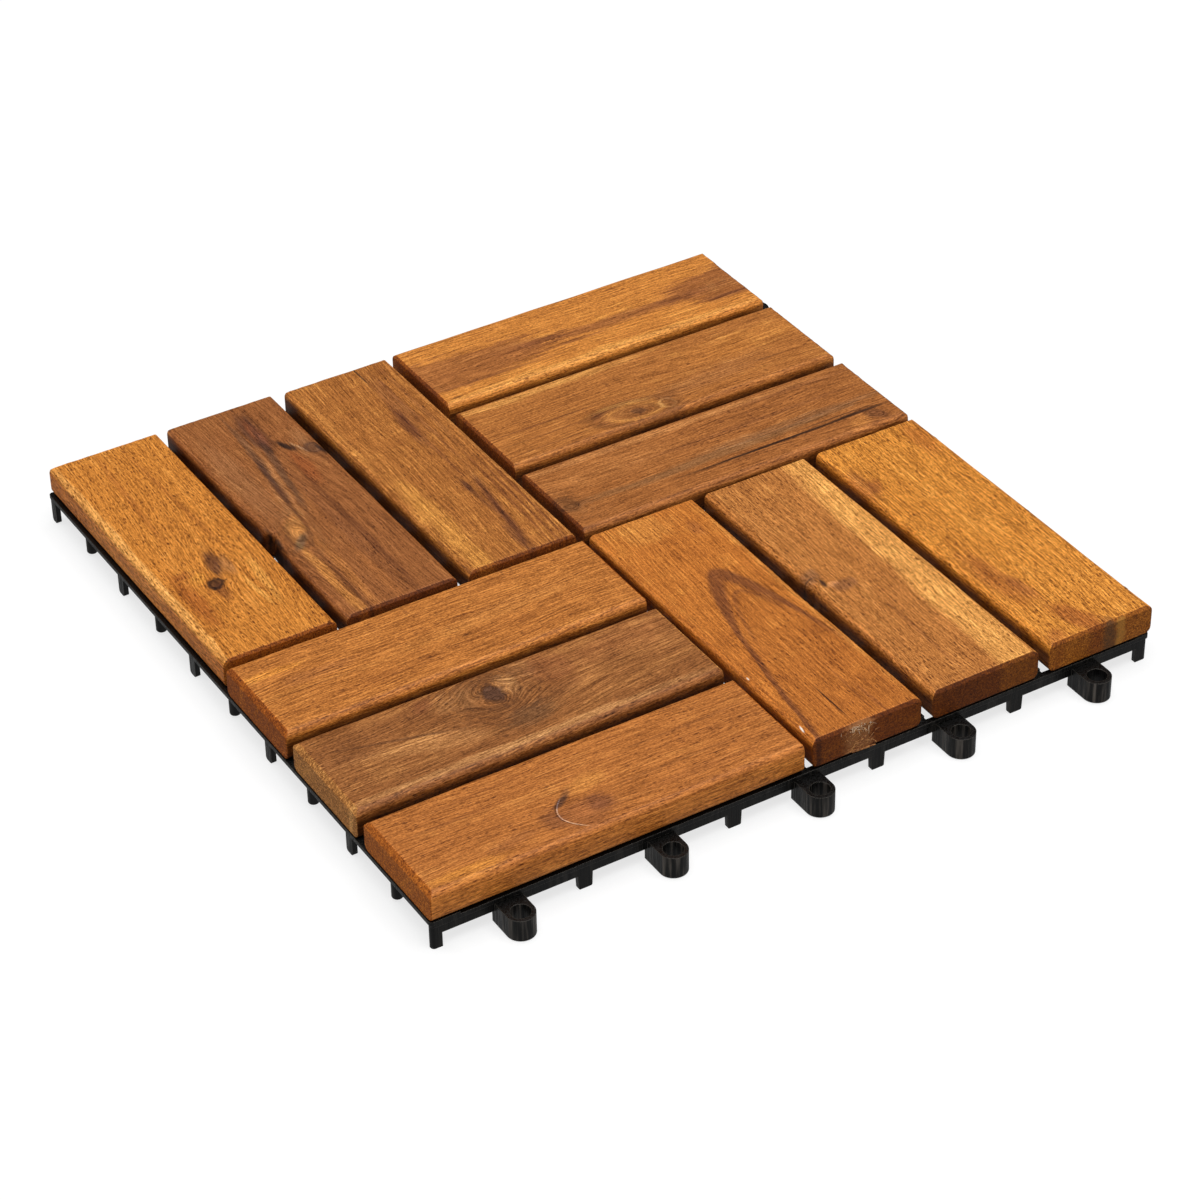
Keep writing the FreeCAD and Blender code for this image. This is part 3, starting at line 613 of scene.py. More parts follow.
def make_loop_group():
    """One growth ring that the saw met on the slant: a loop, sharp outside and soft inside."""
    group, given, result = new_group(
        "loop",
        [("Place", VECTOR, None), ("Along", NUMBER, 0.0), ("Across", NUMBER, 0.0),
         ("Opens", NUMBER, 1.0), ("Spread", NUMBER, 3.0), ("Lean", NUMBER, 0.0),
         ("Thickness", NUMBER, 2.0), ("Swell", NUMBER, 1.0), ("Length", NUMBER, 100.0),
         ("Far Length", NUMBER, 50.0)],
        [("Line", NUMBER), ("Inside", NUMBER)])
    parts = split(group, given["Place"])
    run = times(group, reckon(group, "SUBTRACT", parts[0], given["Along"]), given["Opens"])
    wave = ripple(group, given["Place"], (0.04, 0.12, 0.12), 3.0, 0.6)
    frayed = ripple(group, given["Place"], (0.2, 1.5, 1.5), 3.0, 0.65)
    aside = reckon(group, "SUBTRACT", reckon(group, "SUBTRACT", parts[1], given["Across"]),
                   times(group, run, given["Lean"]))
    aside = add_up(group, aside, times(group, wave, given["Thickness"], 0.7))
    curve = reckon(group, "DIVIDE", times(group, aside, aside), given["Spread"])
    outside = reckon(group, "SUBTRACT", curve, run)
    steep = reckon(group, "DIVIDE", times(group, aside, 2.0), given["Spread"])
    steep = reckon(group, "SQRT", add_up(group, times(group, steep, steep), 1.0))
    swollen = times(group, fade(group, run, 42.0, 0.0), given["Swell"])
    wide = times(group, given["Thickness"], add_up(group, 1.0, swollen))
    outside = reckon(group, "DIVIDE", reckon(group, "DIVIDE", outside, steep), wide)
    outside = add_up(group, outside, times(group, frayed, 0.28))
    line = times(group, fade(group, outside, 0.10, -0.08), fade(group, outside, -1.15, -0.40))
    longer = reckon(group, "SUBTRACT", given["Length"], given["Far Length"])
    reach = add_up(group, given["Far Length"], times(group, longer, fade(group, aside, 2.0, -2.0)))
    line = times(group, line, fade(group, run, reach, times(group, reach, 0.55)))
    group.links.new(times(group, line, add_up(group, 1.0, frayed)), result["Line"])
    group.links.new(fade(group, outside, 0.1, -1.0), result["Inside"])
    return group


PORE_FILL = (0.30, 0.20, 0.12)


def make_timber_group():
    """Growth rings about a heart line, fibres, pores and cross figure, at a point in the log."""
    group, given, result = new_group(
        "timber",
        [("Place", VECTOR, None), ("Push", NUMBER, 0.0), ("Heart Across", NUMBER, 60.0),
         ("Heart Depth", NUMBER, -40.0), ("Grain Slope", NUMBER, 0.0), ("Contrast", NUMBER, 1.0),
         ("Pores", NUMBER, 0.5), ("Mottle", NUMBER, 0.3),
         ("Light", COLOUR, None), ("Middle", COLOUR, None), ("Dark", COLOUR, None)],
        [("Colour", COLOUR), ("Roughness", NUMBER), ("Height", NUMBER)])
    parts = split(group, given["Place"])
    long_wave = ripple(group, given["Place"], (0.011, 0.03, 0.03), 1.0)
    short_wave = ripple(group, given["Place"], (0.05, 0.16, 0.16), 2.0)
    across = add_up(group, parts[1], given["Push"], times(group, long_wave, 10.0),
                    times(group, short_wave, 1.1))
    across = reckon(group, "SUBTRACT", across, times(group, parts[0], given["Grain Slope"]))
    from_heart = reckon(group, "SUBTRACT", across, given["Heart Across"])
    deep = reckon(group, "SUBTRACT", parts[2], given["Heart Depth"])
    square = add_up(group, times(group, from_heart, from_heart), times(group, deep, deep))
    ring = reckon(group, "SQRT", square)
    ring_point = put_node(group, "ShaderNodeCombineXYZ", {0: parts[0], 1: ring, 2: 3.0}).outputs[0]
    strand = put_node(group, "ShaderNodeCombineXYZ", {0: parts[0], 1: across, 2: parts[2]}).outputs[0]
    bands = ripple(group, ring_point, (0.008, 0.14, 1.0), 3.0, 0.6)
    lines = ripple(group, ring_point, (0.016, 0.8, 1.0), 3.0, 0.65)
    fibres = ripple(group, strand, (0.055, 1.4, 1.4), 3.0, 0.7)
    flecks = ripple(group, strand, (0.26, 2.4, 2.4), 2.0, 0.6)
    figure = ripple(group, strand, (0.12, 0.05, 0.05), 3.0, 0.6)
    chatter = ripple(group, strand, (0.55, 0.06, 0.06), 1.0)
    tone = add_up(group, times(group, bands, 2.4), times(group, lines, 1.9), times(group, fibres, 1.6))
    tone = add_up(group, times(group, tone, given["Contrast"]), times(group, figure, given["Mottle"], 3.0),
                  times(group, chatter, given["Mottle"], 1.1))
    colour = mix_paint(group, fade(group, tone, -1.0, 0.0), given["Dark"], given["Middle"])
    colour = mix_paint(group, fade(group, tone, 0.0, 1.0), colour, given["Light"])
    dust = ripple(group, given["Place"], (0.9, 2.2, 2.2), 2.0, 0.65)
    grit = add_up(group, times(group, fibres, 3.2), times(group, dust, 2.8),
                  times(group, flecks, add_up(group, 1.4, times(group, given["Pores"], 3.2))))
    grit = reckon(group, "MAXIMUM", add_up(group, times(group, grit, given["Contrast"]), 1.0), 0.45)
    tinged = put_node(group, "ShaderNodeCombineXYZ",
                      {0: grit, 1: reckon(group, "POWER", grit, 1.15),
                       2: reckon(group, "POWER", grit, 1.4)})
    colour = mix_paint(group, 1.0, colour, tinged.outputs[0], "MULTIPLY")
    spread = add_up(group, given["Pores"], times(group, bands, -1.2), times(group, figure, 0.6))
    cells = put_node(group, "ShaderNodeTexVoronoi",
                     {"Vector": reckon_vector(group, "MULTIPLY", strand, (0.34, 1.9, 1.9)), "Scale": 1.0})
    picked = put_node(group, "ShaderNodeSeparateColor", {0: cells.outputs["Color"]}).outputs[0]
    there = fade(group, add_up(group, picked, spread), 0.92, 1.12)
    pores = times(group, fade(group, cells.outputs["Distance"], 0.42, 0.26), there)
    group.links.new(stain(group, times(group, pores, 0.92), colour, PORE_FILL), result["Colour"])
    gloss = add_up(group, 0.46, times(group, pores, 0.2), times(group, lines, 0.15))
    group.links.new(gloss, result["Roughness"])
    height = add_up(group, times(group, fibres, 0.8), times(group, lines, 0.5), times(group, flecks, 0.4))
    group.links.new(reckon(group, "SUBTRACT", height, pores), result["Height"])
    return group


def make_end_group():
    """Where a face or bevel lies across the grain, how far a face leans, and the saw's marks."""
    group, given, result = new_group(
        "sawn_end", [("Place", VECTOR, None), ("Facing", VECTOR, None), ("Grain", VECTOR, None)],
        [("Mask", NUMBER), ("Bevel", NUMBER), ("Side", NUMBER), ("Edge", NUMBER), ("Saw Marks", NUMBER)])
    worn = times(group, ripple(group, given["Place"], (0.9, 0.9, 0.9), 3.0, 0.6), 0.3)
    turned = size_of(group, reckon_vector(group, "DOT_PRODUCT", given["Facing"], given["Grain"]))
    upward = split(group, given["Facing"])[2]
    end = fade(group, add_up(group, turned, worn), 0.30, 0.62)
    group.links.new(end, result["Mask"])
    group.links.new(times(group, end, fade(group, turned, 0.95, 0.80)), result["Bevel"])
    not_end = reckon(group, "SUBTRACT", 1.0, end)
    group.links.new(times(group, fade(group, upward, 0.55, 0.1), not_end), result["Side"])
    long_edge = times(group, fade(group, add_up(group, upward, worn), 0.98, 0.85),
                      fade(group, upward, 0.2, 0.6), not_end)
    end_edge = times(group, fade(group, turned, 0.05, 0.22), fade(group, turned, 0.55, 0.35))
    group.links.new(reckon(group, "MAXIMUM", long_edge, end_edge), result["Edge"])
    group.links.new(cloud(group, given["Place"], (0.7, 0.7, 2.6), 4.0, 0.75), result["Saw Marks"])
    return group


knot_group = make_knot_group()
streak_group = make_streak_group()
loop_group = make_loop_group()
timber_group = make_timber_group()
end_group = make_end_group()


# Lightens the slats' rounded edges: partly wear, partly a painted highlight.
EDGE_WEAR_AND_HIGHLIGHT = (1.16, 1.12, 1.0)
# Painted shade for the sides between the slats, and the depths below their tops where it begins and where
# it is full.
GAP_PAINTED_SHADE = (0.20, 0.14, 0.10)
SAW_DIRT = (0.55, 0.48, 0.40)
# Painted shade for the bevels at the slats' ends.
BEVEL_PAINTED_SHADE = (0.40, 0.34, 0.28)
GAP_SHADE_FROM, GAP_SHADE_FULL = 1.4, 5.5
OUTER_SIDE, INNER_SIDES = 148.6, 147.8
GRAIN_RELIEF = 0.10 * MM


def finish_slat(name, light, middle, dark, runs="X", heart=(60.0, -40.0, 0.0), contrast=1.0, pores=0.4,
                mottle=0.3, end=(0.7, 0.52, 0.3), side=(1.1, 1.04, 0.84), bevels=(1.0, 1.3),
                knots=(), streaks=(), loops=(), scars_and_glints=(), dents=()):
    """Shape a slat and give it its own timber. Places are in millimetres in the tile's frame.

    light, middle and dark are the wood's tones and runs the axis that its grain runs along. heart
    is the place across, the depth and the slope of the log's heart. end tints the sawn ends. side
    is painted light and shade on the long sides: a tint that makes them lighter or darker as
    the light falls on them. bevels are those at the tile's middle and at its edge.
    knots: along, across, half length, half width, lean, rings, then tint and strength of the
    core, of the rim and of the rings round it.
    streaks: along, across, half length, half width, slope, raggedness, tint, strength, and the
    bend where there is one.
    loops: along and across at the tip, the way it opens, spread, lean, thickness, swell at the
    tip, length of both arms, tint, strength, strength within.
    scars: as streaks, but in a colour of their own. Some are real scars, some painted glints of
    light.
    dents: along, side, depth, half length, raggedness.
    """
    board = shape_slat(name, runs, *bevels, dents)
    material, tree, surface = new_finish(f"timber_{name}")
    tile_place = in_millimetres(tree)
    parts = split(tree, tile_place)
    along_part, across_part = (parts[0], parts[1]) if runs == "X" else (parts[1], parts[0])
    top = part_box(f"slat_{name}")[1].z / MM
    depth = reckon(tree, "SUBTRACT", parts[2], top)
    place = put_node(tree, "ShaderNodeCombineXYZ", {0: along_part, 1: across_part, 2: depth}).outputs[0]
    base_tone = paint(*middle)

    def tint_wood(share, colour, tint):
        """Stain the grain so that the slat's middle tone would turn into the tint."""
        ratio = [a / b for a, b in zip(paint(*tint), base_tone)]
        return stain(tree, share, colour, ratio[:3])

    push = 0.0
    found = []
    for along, across, half_length, half_width, lean, rings, *tints in knots:
        knot = use_group(tree, knot_group, place, along, across, half_length, half_width, lean, rings)
        found.append((knot, tints))
        push = reckon(tree, "ADD", push, knot["Push"])
    timber = use_group(tree, timber_group, place, push, *heart, contrast, pores, mottle,
                       paint(*light), base_tone, paint(*dark))
    colour = timber["Colour"]
    for along, across, half_length, half_width, slope, ragged, tint, strength, *bend in streaks:
        streak = use_group(tree, streak_group, place, along, across, half_length, half_width, slope,
                           ragged, *bend)
        colour = tint_wood(times(tree, streak["Mask"], strength), colour, tint)
    for *shape, tint, strength, within in loops:
        loop = use_group(tree, loop_group, place, *shape)
        share = reckon(tree, "MAXIMUM", times(tree, loop["Inside"], within),
                       times(tree, loop["Line"], strength))
        colour = tint_wood(share, colour, tint)
    for knot, (core_tint, core_strength, rim_tint, rim_strength, ring_tint, ring_strength) in found:
        colour = tint_wood(times(tree, knot["Rings"], ring_strength), colour, ring_tint)
        colour = tint_wood(times(tree, knot["Core"], core_strength), colour, core_tint)
        colour = tint_wood(times(tree, knot["Rim"], rim_strength), colour, rim_tint)
    facing = put_node(tree, "ShaderNodeNewGeometry", {}).outputs["Normal"]
    grain = (1.0, 0.0, 0.0) if runs == "X" else (0.0, 1.0, 0.0)
    sawn = use_group(tree, end_group, tile_place, facing, grain)
    # The rounded edges made lighter: partly wear, partly a painted highlight.
    colour = stain(tree, times(tree, sawn["Edge"], 0.8), colour, EDGE_WEAR_AND_HIGHLIGHT)
    # Painted light and shade: the side tint makes each long side lighter or darker as the light falls on
    # it.
    colour = stain(tree, sawn["Side"], colour, side)
    # Painted shade: the sides between the slats darken towards their bottoms.
    between = fade(tree, size_of(tree, across_part), OUTER_SIDE, INNER_SIDES)
    below = fade(tree, depth, -GAP_SHADE_FROM, -GAP_SHADE_FULL)
    colour = stain(tree, times(tree, sawn["Side"], between, below, 0.9), colour, GAP_PAINTED_SHADE)
    soaked = mix_paint(tree, 1.0, colour, (*end, 1.0), "MULTIPLY")
    soaked = stain(tree, fade(tree, sawn["Saw Marks"], 0.40, 0.68), soaked, SAW_DIRT)
    colour = mix_paint(tree, sawn["Mask"], colour, soaked)
    # Painted shade on the bevels at the slat's ends.
    colour = stain(tree, times(tree, sawn["Bevel"], 0.35), colour, BEVEL_PAINTED_SHADE)
    # Marks in their own colour: real scars, and painted glints of light.
    for *shape, tint, strength in scars_and_glints:
        scar_and_glint = use_group(tree, streak_group, place, *shape)
        colour = mix_paint(tree, times(tree, scar_and_glint["Mask"], strength), colour, paint(*tint))
    gloss = add_up(tree, timber["Roughness"], times(tree, sawn["Mask"], 0.2))
    relief = add_up(tree, timber["Height"], times(tree, sawn["Mask"], sawn["Saw Marks"]))
    bump = put_node(tree, "ShaderNodeBump", {"Height": relief, "Distance": GRAIN_RELIEF, "Strength": 0.8})
    cover(tree, surface, {"Base Color": colour, "Roughness": gloss, "Normal": bump.outputs[0],
                          "Specular IOR Level": 0.2})
    board.data.materials.append(material)


# Back left quarter, grain along Y. Outer slat: golden, one small knot with a brown smudge.
finish_slat(
    "back_left_outer", (222, 150, 70), (199, 125, 49), (160, 92, 33), runs="Y",
    # Its side tint darkens its long sides: painted shade.
    heart=(-60.0, -70.0, 0.04), contrast=0.66, pores=0.46, mottle=0.35, side=(1.0, 0.76, 0.50),
    knots=[(45.8, -129.4, 3.0, 2.9, 0.0, 1.0, (96, 58, 34), 0.9, (62, 36, 22), 0.85, (160, 92, 40), 0.3)],
    streaks=[
        (40.0, -129.3, 7.0, 2.6, 0.0, 0.6, (146, 86, 40), 0.8),
        (58.0, -124.8, 11.0, 3.0, 0.15, 0.7, (112, 66, 36), 0.95),
        (55.0, -120.5, 8.0, 3.4, 0.1, 0.7, (170, 112, 62), 0.75),
        (40.0, -140.5, 22.0, 4.2, 0.0, 0.9, (164, 90, 34), 0.8),
        (56.5, -136.0, 3.0, 6.0, 0.0, 0.8, (158, 86, 36), 0.6),
        (54.0, -133.5, 6.5, 3.0, 0.0, 0.7, (236, 162, 66), 0.6),
        (75.0, -147.6, 100.0, 2.0, 0.0, 0.8, (232, 166, 88), 0.8),
        (38.0, -113.0, 18.0, 2.4, 0.08, 0.7, (230, 162, 76), 0.6),
        (34.0, -118.0, 12.0, 1.4, -0.1, 0.7, (232, 166, 80), 0.6),
        (115.0, -132.0, 40.0, 1.6, 0.06, 0.9, (164, 94, 36), 0.6),
        (105.0, -118.0, 50.0, 1.2, -0.05, 0.9, (168, 98, 40), 0.5)],
    loops=[(29.0, -113.0, 1.0, 0.9, -0.04, 1.0, 0.5, 60.0, 60.0, (160, 92, 34), 0.4, 0.0)])
# Middle slat: grey brown with dark streaks, two ragged knots, one at a waney edge.
finish_slat(
    "back_left_middle", (178, 116, 62), (147, 89, 46), (113, 64, 31), runs="Y",
    heart=(-80.0, -16.0, -0.06), contrast=0.7, pores=0.08, mottle=0.3,
    knots=[
        (106.5, -56.5, 4.0, 3.2, 0.3, 0.9, (96, 64, 44), 0.75, (76, 48, 34), 0.6, (118, 76, 46), 0.45),
        (57.0, -89.0, 8.0, 4.4, -0.5, 1.2, (150, 96, 52), 0.4, (116, 70, 38), 0.55, (120, 76, 42), 0.4)],
    streaks=[
        (52.0, -68.2, 58.0, 2.2, 0.0, 0.7, (112, 64, 34), 0.75),
        (60.0, -72.5, 50.0, 2.6, 0.0, 0.9, (132, 80, 46), 0.5),
        (20.0, -76.0, 24.0, 2.2, 0.0, 0.9, (172, 106, 54), 0.5),
        (103.0, -74.3, 40.0, 1.9, 0.14, 0.7, (104, 68, 44), 0.85),
        (90.0, -81.6, 28.0, 1.5, 0.08, 0.8, (90, 54, 34), 0.9),
        (114.0, -79.0, 36.0, 1.6, 0.06, 0.8, (112, 74, 48), 0.7),
        (96.0, -78.2, 40.0, 1.1, 0.12, 0.7, (176, 118, 70), 0.45),
        (82.0, -84.2, 16.0, 1.0, 0.1, 0.7, (170, 114, 68), 0.4),
        (127.5, -71.8, 17.5, 5.2, 0.0, 0.5, (92, 54, 34), 0.9),
        (127.5, -71.2, 11.5, 2.5, 0.0, 0.5, (214, 124, 62), 0.85),
        (96.0, -65.5, 15.0, 3.2, 0.0, 0.7, (150, 80, 38), 0.7),
        (113.5, -65.2, 6.0, 2.2, -0.35, 0.6, (46, 28, 20), 0.95),
        (104.0, -54.0, 4.5, 1.7, -0.3, 0.6, (64, 40, 28), 0.85),
        (110.0, -61.5, 5.5, 0.7, -0.35, 0.5, (204, 150, 100), 0.6),
        (116.0, -58.0, 8.0, 3.4, 0.0, 0.8, (168, 112, 66), 0.5),
        (62.5, -88.0, 7.6, 4.6, 0.2, 0.8, (192, 124, 60), 0.75),
        (63.0, -83.6, 6.0, 1.1, 0.1, 0.6, (112, 62, 30), 0.8),
        (69.5, -87.5, 3.0, 1.3, 0.6, 0.5, (128, 76, 40), 0.7),
        (52.5, -90.5, 5.5, 3.0, 0.7, 0.6, (112, 80, 54), 0.85),
        (22.0, -92.0, 34.0, 2.4, 0.0, 0.8, (204, 134, 64), 0.75),
        (22.0, -85.0, 30.0, 2.4, 0.0, 0.8, (186, 118, 58), 0.6),
        (15.0, -88.6, 30.0, 1.1, 0.0, 0.7, (110, 64, 32), 0.7),
        (60.0, -97.4, 9.0, 0.9, 0.0, 0.5, (46, 26, 16), 0.9),
        (100.0, -91.0, 36.0, 7.0, 0.0, 0.8, (150, 96, 56), 0.7)],
    dents=[(63.0, -1, 2.2, 2.6, 0.8), (54.0, -1, 0.8, 9.0, 0.6), (76.0, -1, 0.6, 5.0, 0.8)])
# Inner slat: golden brown, dark curved bands down its right part and fine lines beside them.
finish_slat(
    "back_left_inner", (200, 132, 62), (167, 103, 46), (134, 76, 33), runs="Y",
    heart=(60.0, -30.0, 0.02), contrast=0.8, pores=0.12, mottle=0.6,
    streaks=[
        (31.0, -17.4, 36.0, 2.4, 0.11, 0.7, (124, 72, 38), 0.8),
        (30.0, -17.6, 30.0, 1.2, 0.13, 0.6, (108, 60, 32), 0.6),
        (44.0, -20.0, 18.0, 1.3, -0.02, 0.7, (122, 72, 38), 0.7),
        (51.0, -20.2, 5.5, 1.8, 0.0, 0.7, (112, 66, 38), 0.7),
        (12.0, -21.6, 12.0, 1.8, 0.0, 0.7, (122, 72, 40), 0.7),
        (99.0, -18.8, 18.0, 2.6, 0.03, 0.7, (116, 66, 36), 0.85),
        (118.0, -15.6, 30.0, 3.6, 0.02, 0.8, (140, 84, 44), 0.7),
        (76.0, -17.6, 28.0, 1.2, 0.0, 0.8, (136, 80, 40), 0.7),
        (142.0, -17.2, 9.0, 0.45, 0.0, 0.3, (64, 36, 20), 0.9),
        (30.0, -5.4, 46.0, 0.8, 0.02, 0.5, (124, 70, 34), 0.8),
        (34.0, -8.2, 48.0, 0.8, 0.03, 0.5, (124, 70, 34), 0.8),
        (40.0, -10.8, 50.0, 0.9, 0.04, 0.6, (130, 74, 36), 0.75),
        (104.0, -12.4, 46.0, 1.4, 0.0, 0.8, (138, 82, 42), 0.7),
        (110.0, -8.0, 46.0, 1.2, 0.0, 0.8, (142, 86, 44), 0.5),
        (70.0, -2.8, 90.0, 1.2, 0.0, 0.6, (196, 132, 70), 0.6),
        (30.0, -41.0, 46.0, 6.0, 0.0, 0.9, (214, 146, 66), 0.6),
        (112.0, -45.0, 40.0, 2.4, 0.0, 0.8, (198, 130, 62), 0.5)])
# Back right quarter, grain along X. Outer slat: golden with a broad brown heart streak.
finish_slat(
    "back_right_outer", (222, 151, 70), (202, 128, 56), (172, 103, 45), heart=(190.0, -50.0, 0.0),
    contrast=0.75, pores=0.08, mottle=0.45,
    streaks=[
        (4.0, 125.6, 66.0, 13.5, -0.03, 0.7, (160, 97, 49), 0.9),
        (90.0, 123.4, 54.0, 3.8, -0.02, 0.7, (156, 94, 48), 0.85, 2.0),
        (158.0, 124.6, 46.0, 13.5, 0.0, 0.7, (154, 92, 47), 0.9),
        (70.0, 118.6, 18.0, 1.2, -0.02, 0.8, (136, 80, 42), 0.7),
        (30.0, 113.8, 34.0, 0.9, -0.02, 0.8, (136, 80, 42), 0.6),
        (138.0, 115.4, 18.0, 1.3, -0.02, 0.7, (126, 72, 40), 0.7),
        (7.5, 107.4, 3.4, 0.8, 0.0, 0.4, (112, 66, 30), 0.85),
        (70.0, 106.0, 90.0, 2.4, 0.0, 0.8, (228, 160, 78), 0.6)])
# Middle slat: brown gold, an eye-shaped knot that the grain sweeps round.
finish_slat(
    "back_right_middle", (195, 130, 63), (172, 106, 49), (143, 84, 38), heart=(20.0, -60.0, 0.0),
    contrast=0.75, pores=0.03, mottle=0.4,
    knots=[
        (60.5, 60.8, 11.5, 5.2, 0.5, 0.8, (150, 92, 46), 0.7, (204, 136, 66), 0.6, (124, 74, 36), 0.6),
        (62.5, 60.2, 3.2, 2.0, 0.4, 1.0, (118, 74, 42), 0.75, (150, 96, 54), 0.2, (150, 92, 44), 0.2),
        (75.0, 59.0, 3.0, 3.4, 0.0, 1.0, (132, 80, 40), 0.6, (196, 134, 72), 0.5, (134, 78, 36), 0.4)],
    streaks=[
        (57.0, 68.2, 15.0, 1.7, -0.06, 0.6, (196, 134, 66), 0.8, -2.0),
        (52.0, 66.4, 10.0, 1.2, 0.12, 0.6, (124, 72, 36), 0.75),
        (46.5, 63.0, 4.0, 6.0, 0.0, 0.7, (140, 82, 42), 0.55),
        (68.0, 51.6, 5.0, 0.7, 0.0, 0.6, (84, 48, 26), 0.8),
        (27.0, 73.3, 30.0, 0.6, 0.0, 0.3, (118, 66, 32), 0.85),
        (22.0, 59.0, 26.0, 0.55, 0.0, 0.4, (134, 78, 38), 0.7),
        (24.0, 66.0, 26.0, 0.55, 0.0, 0.4, (134, 78, 38), 0.6),
        (98.0, 66.0, 30.0, 6.0, 0.05, 0.9, (168, 108, 60), 0.5),
        (36.0, 94.8, 56.0, 2.6, 0.0, 0.8, (212, 146, 74), 0.8),
        (128.0, 82.0, 40.0, 8.0, 0.03, 0.9, (194, 122, 54), 0.5),
        (128.0, 65.8, 9.0, 0.6, 0.0, 0.4, (104, 60, 30), 0.6)])
# Inner slat: darker, reddish, with a thin dark line that runs out to a knot near its end.
finish_slat(
    "back_right_inner", (183, 117, 60), (160, 97, 46), (131, 76, 36), heart=(70.0, -30.0, 0.0),
    contrast=0.8, pores=0.03, mottle=0.4,
    knots=[
        (139.0, 8.6, 3.0, 3.6, 0.4, 1.0, (104, 60, 34), 0.75, (92, 52, 30), 0.4, (120, 70, 38), 0.35),
        (5.0, 19.5, 4.6, 5.4, 0.3, 1.6, (114, 72, 40), 0.6, (96, 60, 34), 0.35, (120, 74, 40), 0.4)],
    streaks=[
        (96.0, 12.4, 52.0, 0.85, 0.004, 0.25, (52, 30, 18), 0.95),
        (134.0, 12.9, 15.0, 1.1, 0.0, 0.4, (62, 36, 22), 0.8),
        (125.0, 14.8, 24.0, 0.5, 0.0, 0.4, (92, 54, 30), 0.8),
        (131.0, 7.2, 6.5, 4.0, 0.3, 0.9, (198, 128, 62), 0.6),
        (72.0, 17.6, 76.0, 3.0, 0.01, 0.7, (140, 93, 53), 0.85, 1.6),
        (110.0, 21.0, 46.0, 2.8, 0.0, 0.8, (144, 94, 54), 0.7),
        (56.0, 43.4, 80.0, 2.4, 0.0, 0.8, (196, 130, 72), 0.7),
        (30.0, 33.0, 40.0, 8.0, 0.0, 0.9, (180, 114, 58), 0.4),
        (95.0, 30.0, 60.0, 1.4, 0.0, 0.9, (138, 82, 42), 0.6),
        (120.0, 41.0, 34.0, 1.4, 0.0, 0.9, (134, 80, 42), 0.6)])
# Front left quarter, grain along X. Inner slat: even orange brown with fine straight grain.
finish_slat(
    "front_left_inner", (202, 131, 61), (181, 111, 49), (154, 90, 38), heart=(-160.0, -60.0, 0.02),
    contrast=0.9, pores=0.08, mottle=0.4, end=(0.88, 0.64, 0.30), bevels=(0.9, 1.9),
    streaks=[
        (-138.0, -13.5, 16.0, 2.4, 0.0, 0.8, (220, 142, 58), 0.7),
        (-124.0, -22.0, 18.0, 3.4, 0.0, 0.9, (164, 100, 50), 0.6),
        (-125.0, -28.0, 26.0, 0.5, 0.0, 0.5, (132, 78, 36), 0.6),
        (-34.0, -3.6, 0.6, 3.0, 0.0, 0.4, (110, 62, 30), 0.6),
        (-38.0, -4.6, 0.5, 2.4, 0.0, 0.4, (110, 62, 30), 0.5),
        (-50.0, -24.0, 40.0, 5.0, 0.05, 0.9, (198, 128, 62), 0.5)])
# Middle slat: browner, with a dark knot in a field of rings and greyed wood round it.
finish_slat(
    "front_left_middle", (176, 116, 61), (143, 88, 44), (111, 64, 31), heart=(-70.0, -30.0, 0.08),
    contrast=0.82, pores=0.16, mottle=0.3, end=(2.2, 2.6, 2.5), bevels=(0.9, 1.9),
    knots=[
        (-77.4, -66.2, 3.7, 5.0, 0.1, 2.0, (84, 54, 38), 0.92, (70, 42, 26), 0.5, (106, 64, 34), 0.7),
        (-78.5, -66.5, 10.5, 9.0, 0.0, 2.4, (162, 103, 54), 0.0, (110, 68, 36), 0.45, (104, 62, 32), 0.6)],
    streaks=[
        (-71.0, -64.0, 4.6, 7.0, 0.0, 0.7, (196, 134, 76), 0.65),
        (-90.0, -63.0, 11.0, 8.0, 0.0, 0.8, (176, 118, 66), 0.6),
        (-53.0, -64.0, 10.0, 10.0, 0.0, 0.8, (134, 78, 40), 0.75),
        (-62.0, -60.0, 6.0, 6.0, 0.0, 0.8, (160, 106, 60), 0.6),
        (-72.0, -84.0, 12.0, 5.4, 0.1, 0.9, (116, 76, 44), 0.8),
        (-58.0, -78.0, 14.0, 4.0, 0.25, 0.8, (136, 84, 44), 0.6),
        (-118.0, -71.6, 26.0, 0.9, -0.28, 0.4, (104, 62, 32), 0.85),
        (-108.0, -79.5, 24.0, 5.5, -0.22, 0.7, (200, 138, 80), 0.5),
        (-140.0, -72.0, 16.0, 4.0, -0.1, 0.9, (144, 90, 48), 0.6),
        (-102.0, -59.0, 5.0, 4.0, 0.3, 0.8, (132, 76, 40), 0.7),
        (-25.0, -64.0, 26.0, 8.0, 0.0, 0.9, (152, 92, 48), 0.5),
        (-80.0, -95.0, 90.0, 2.2, 0.0, 0.8, (198, 140, 84), 0.7)])
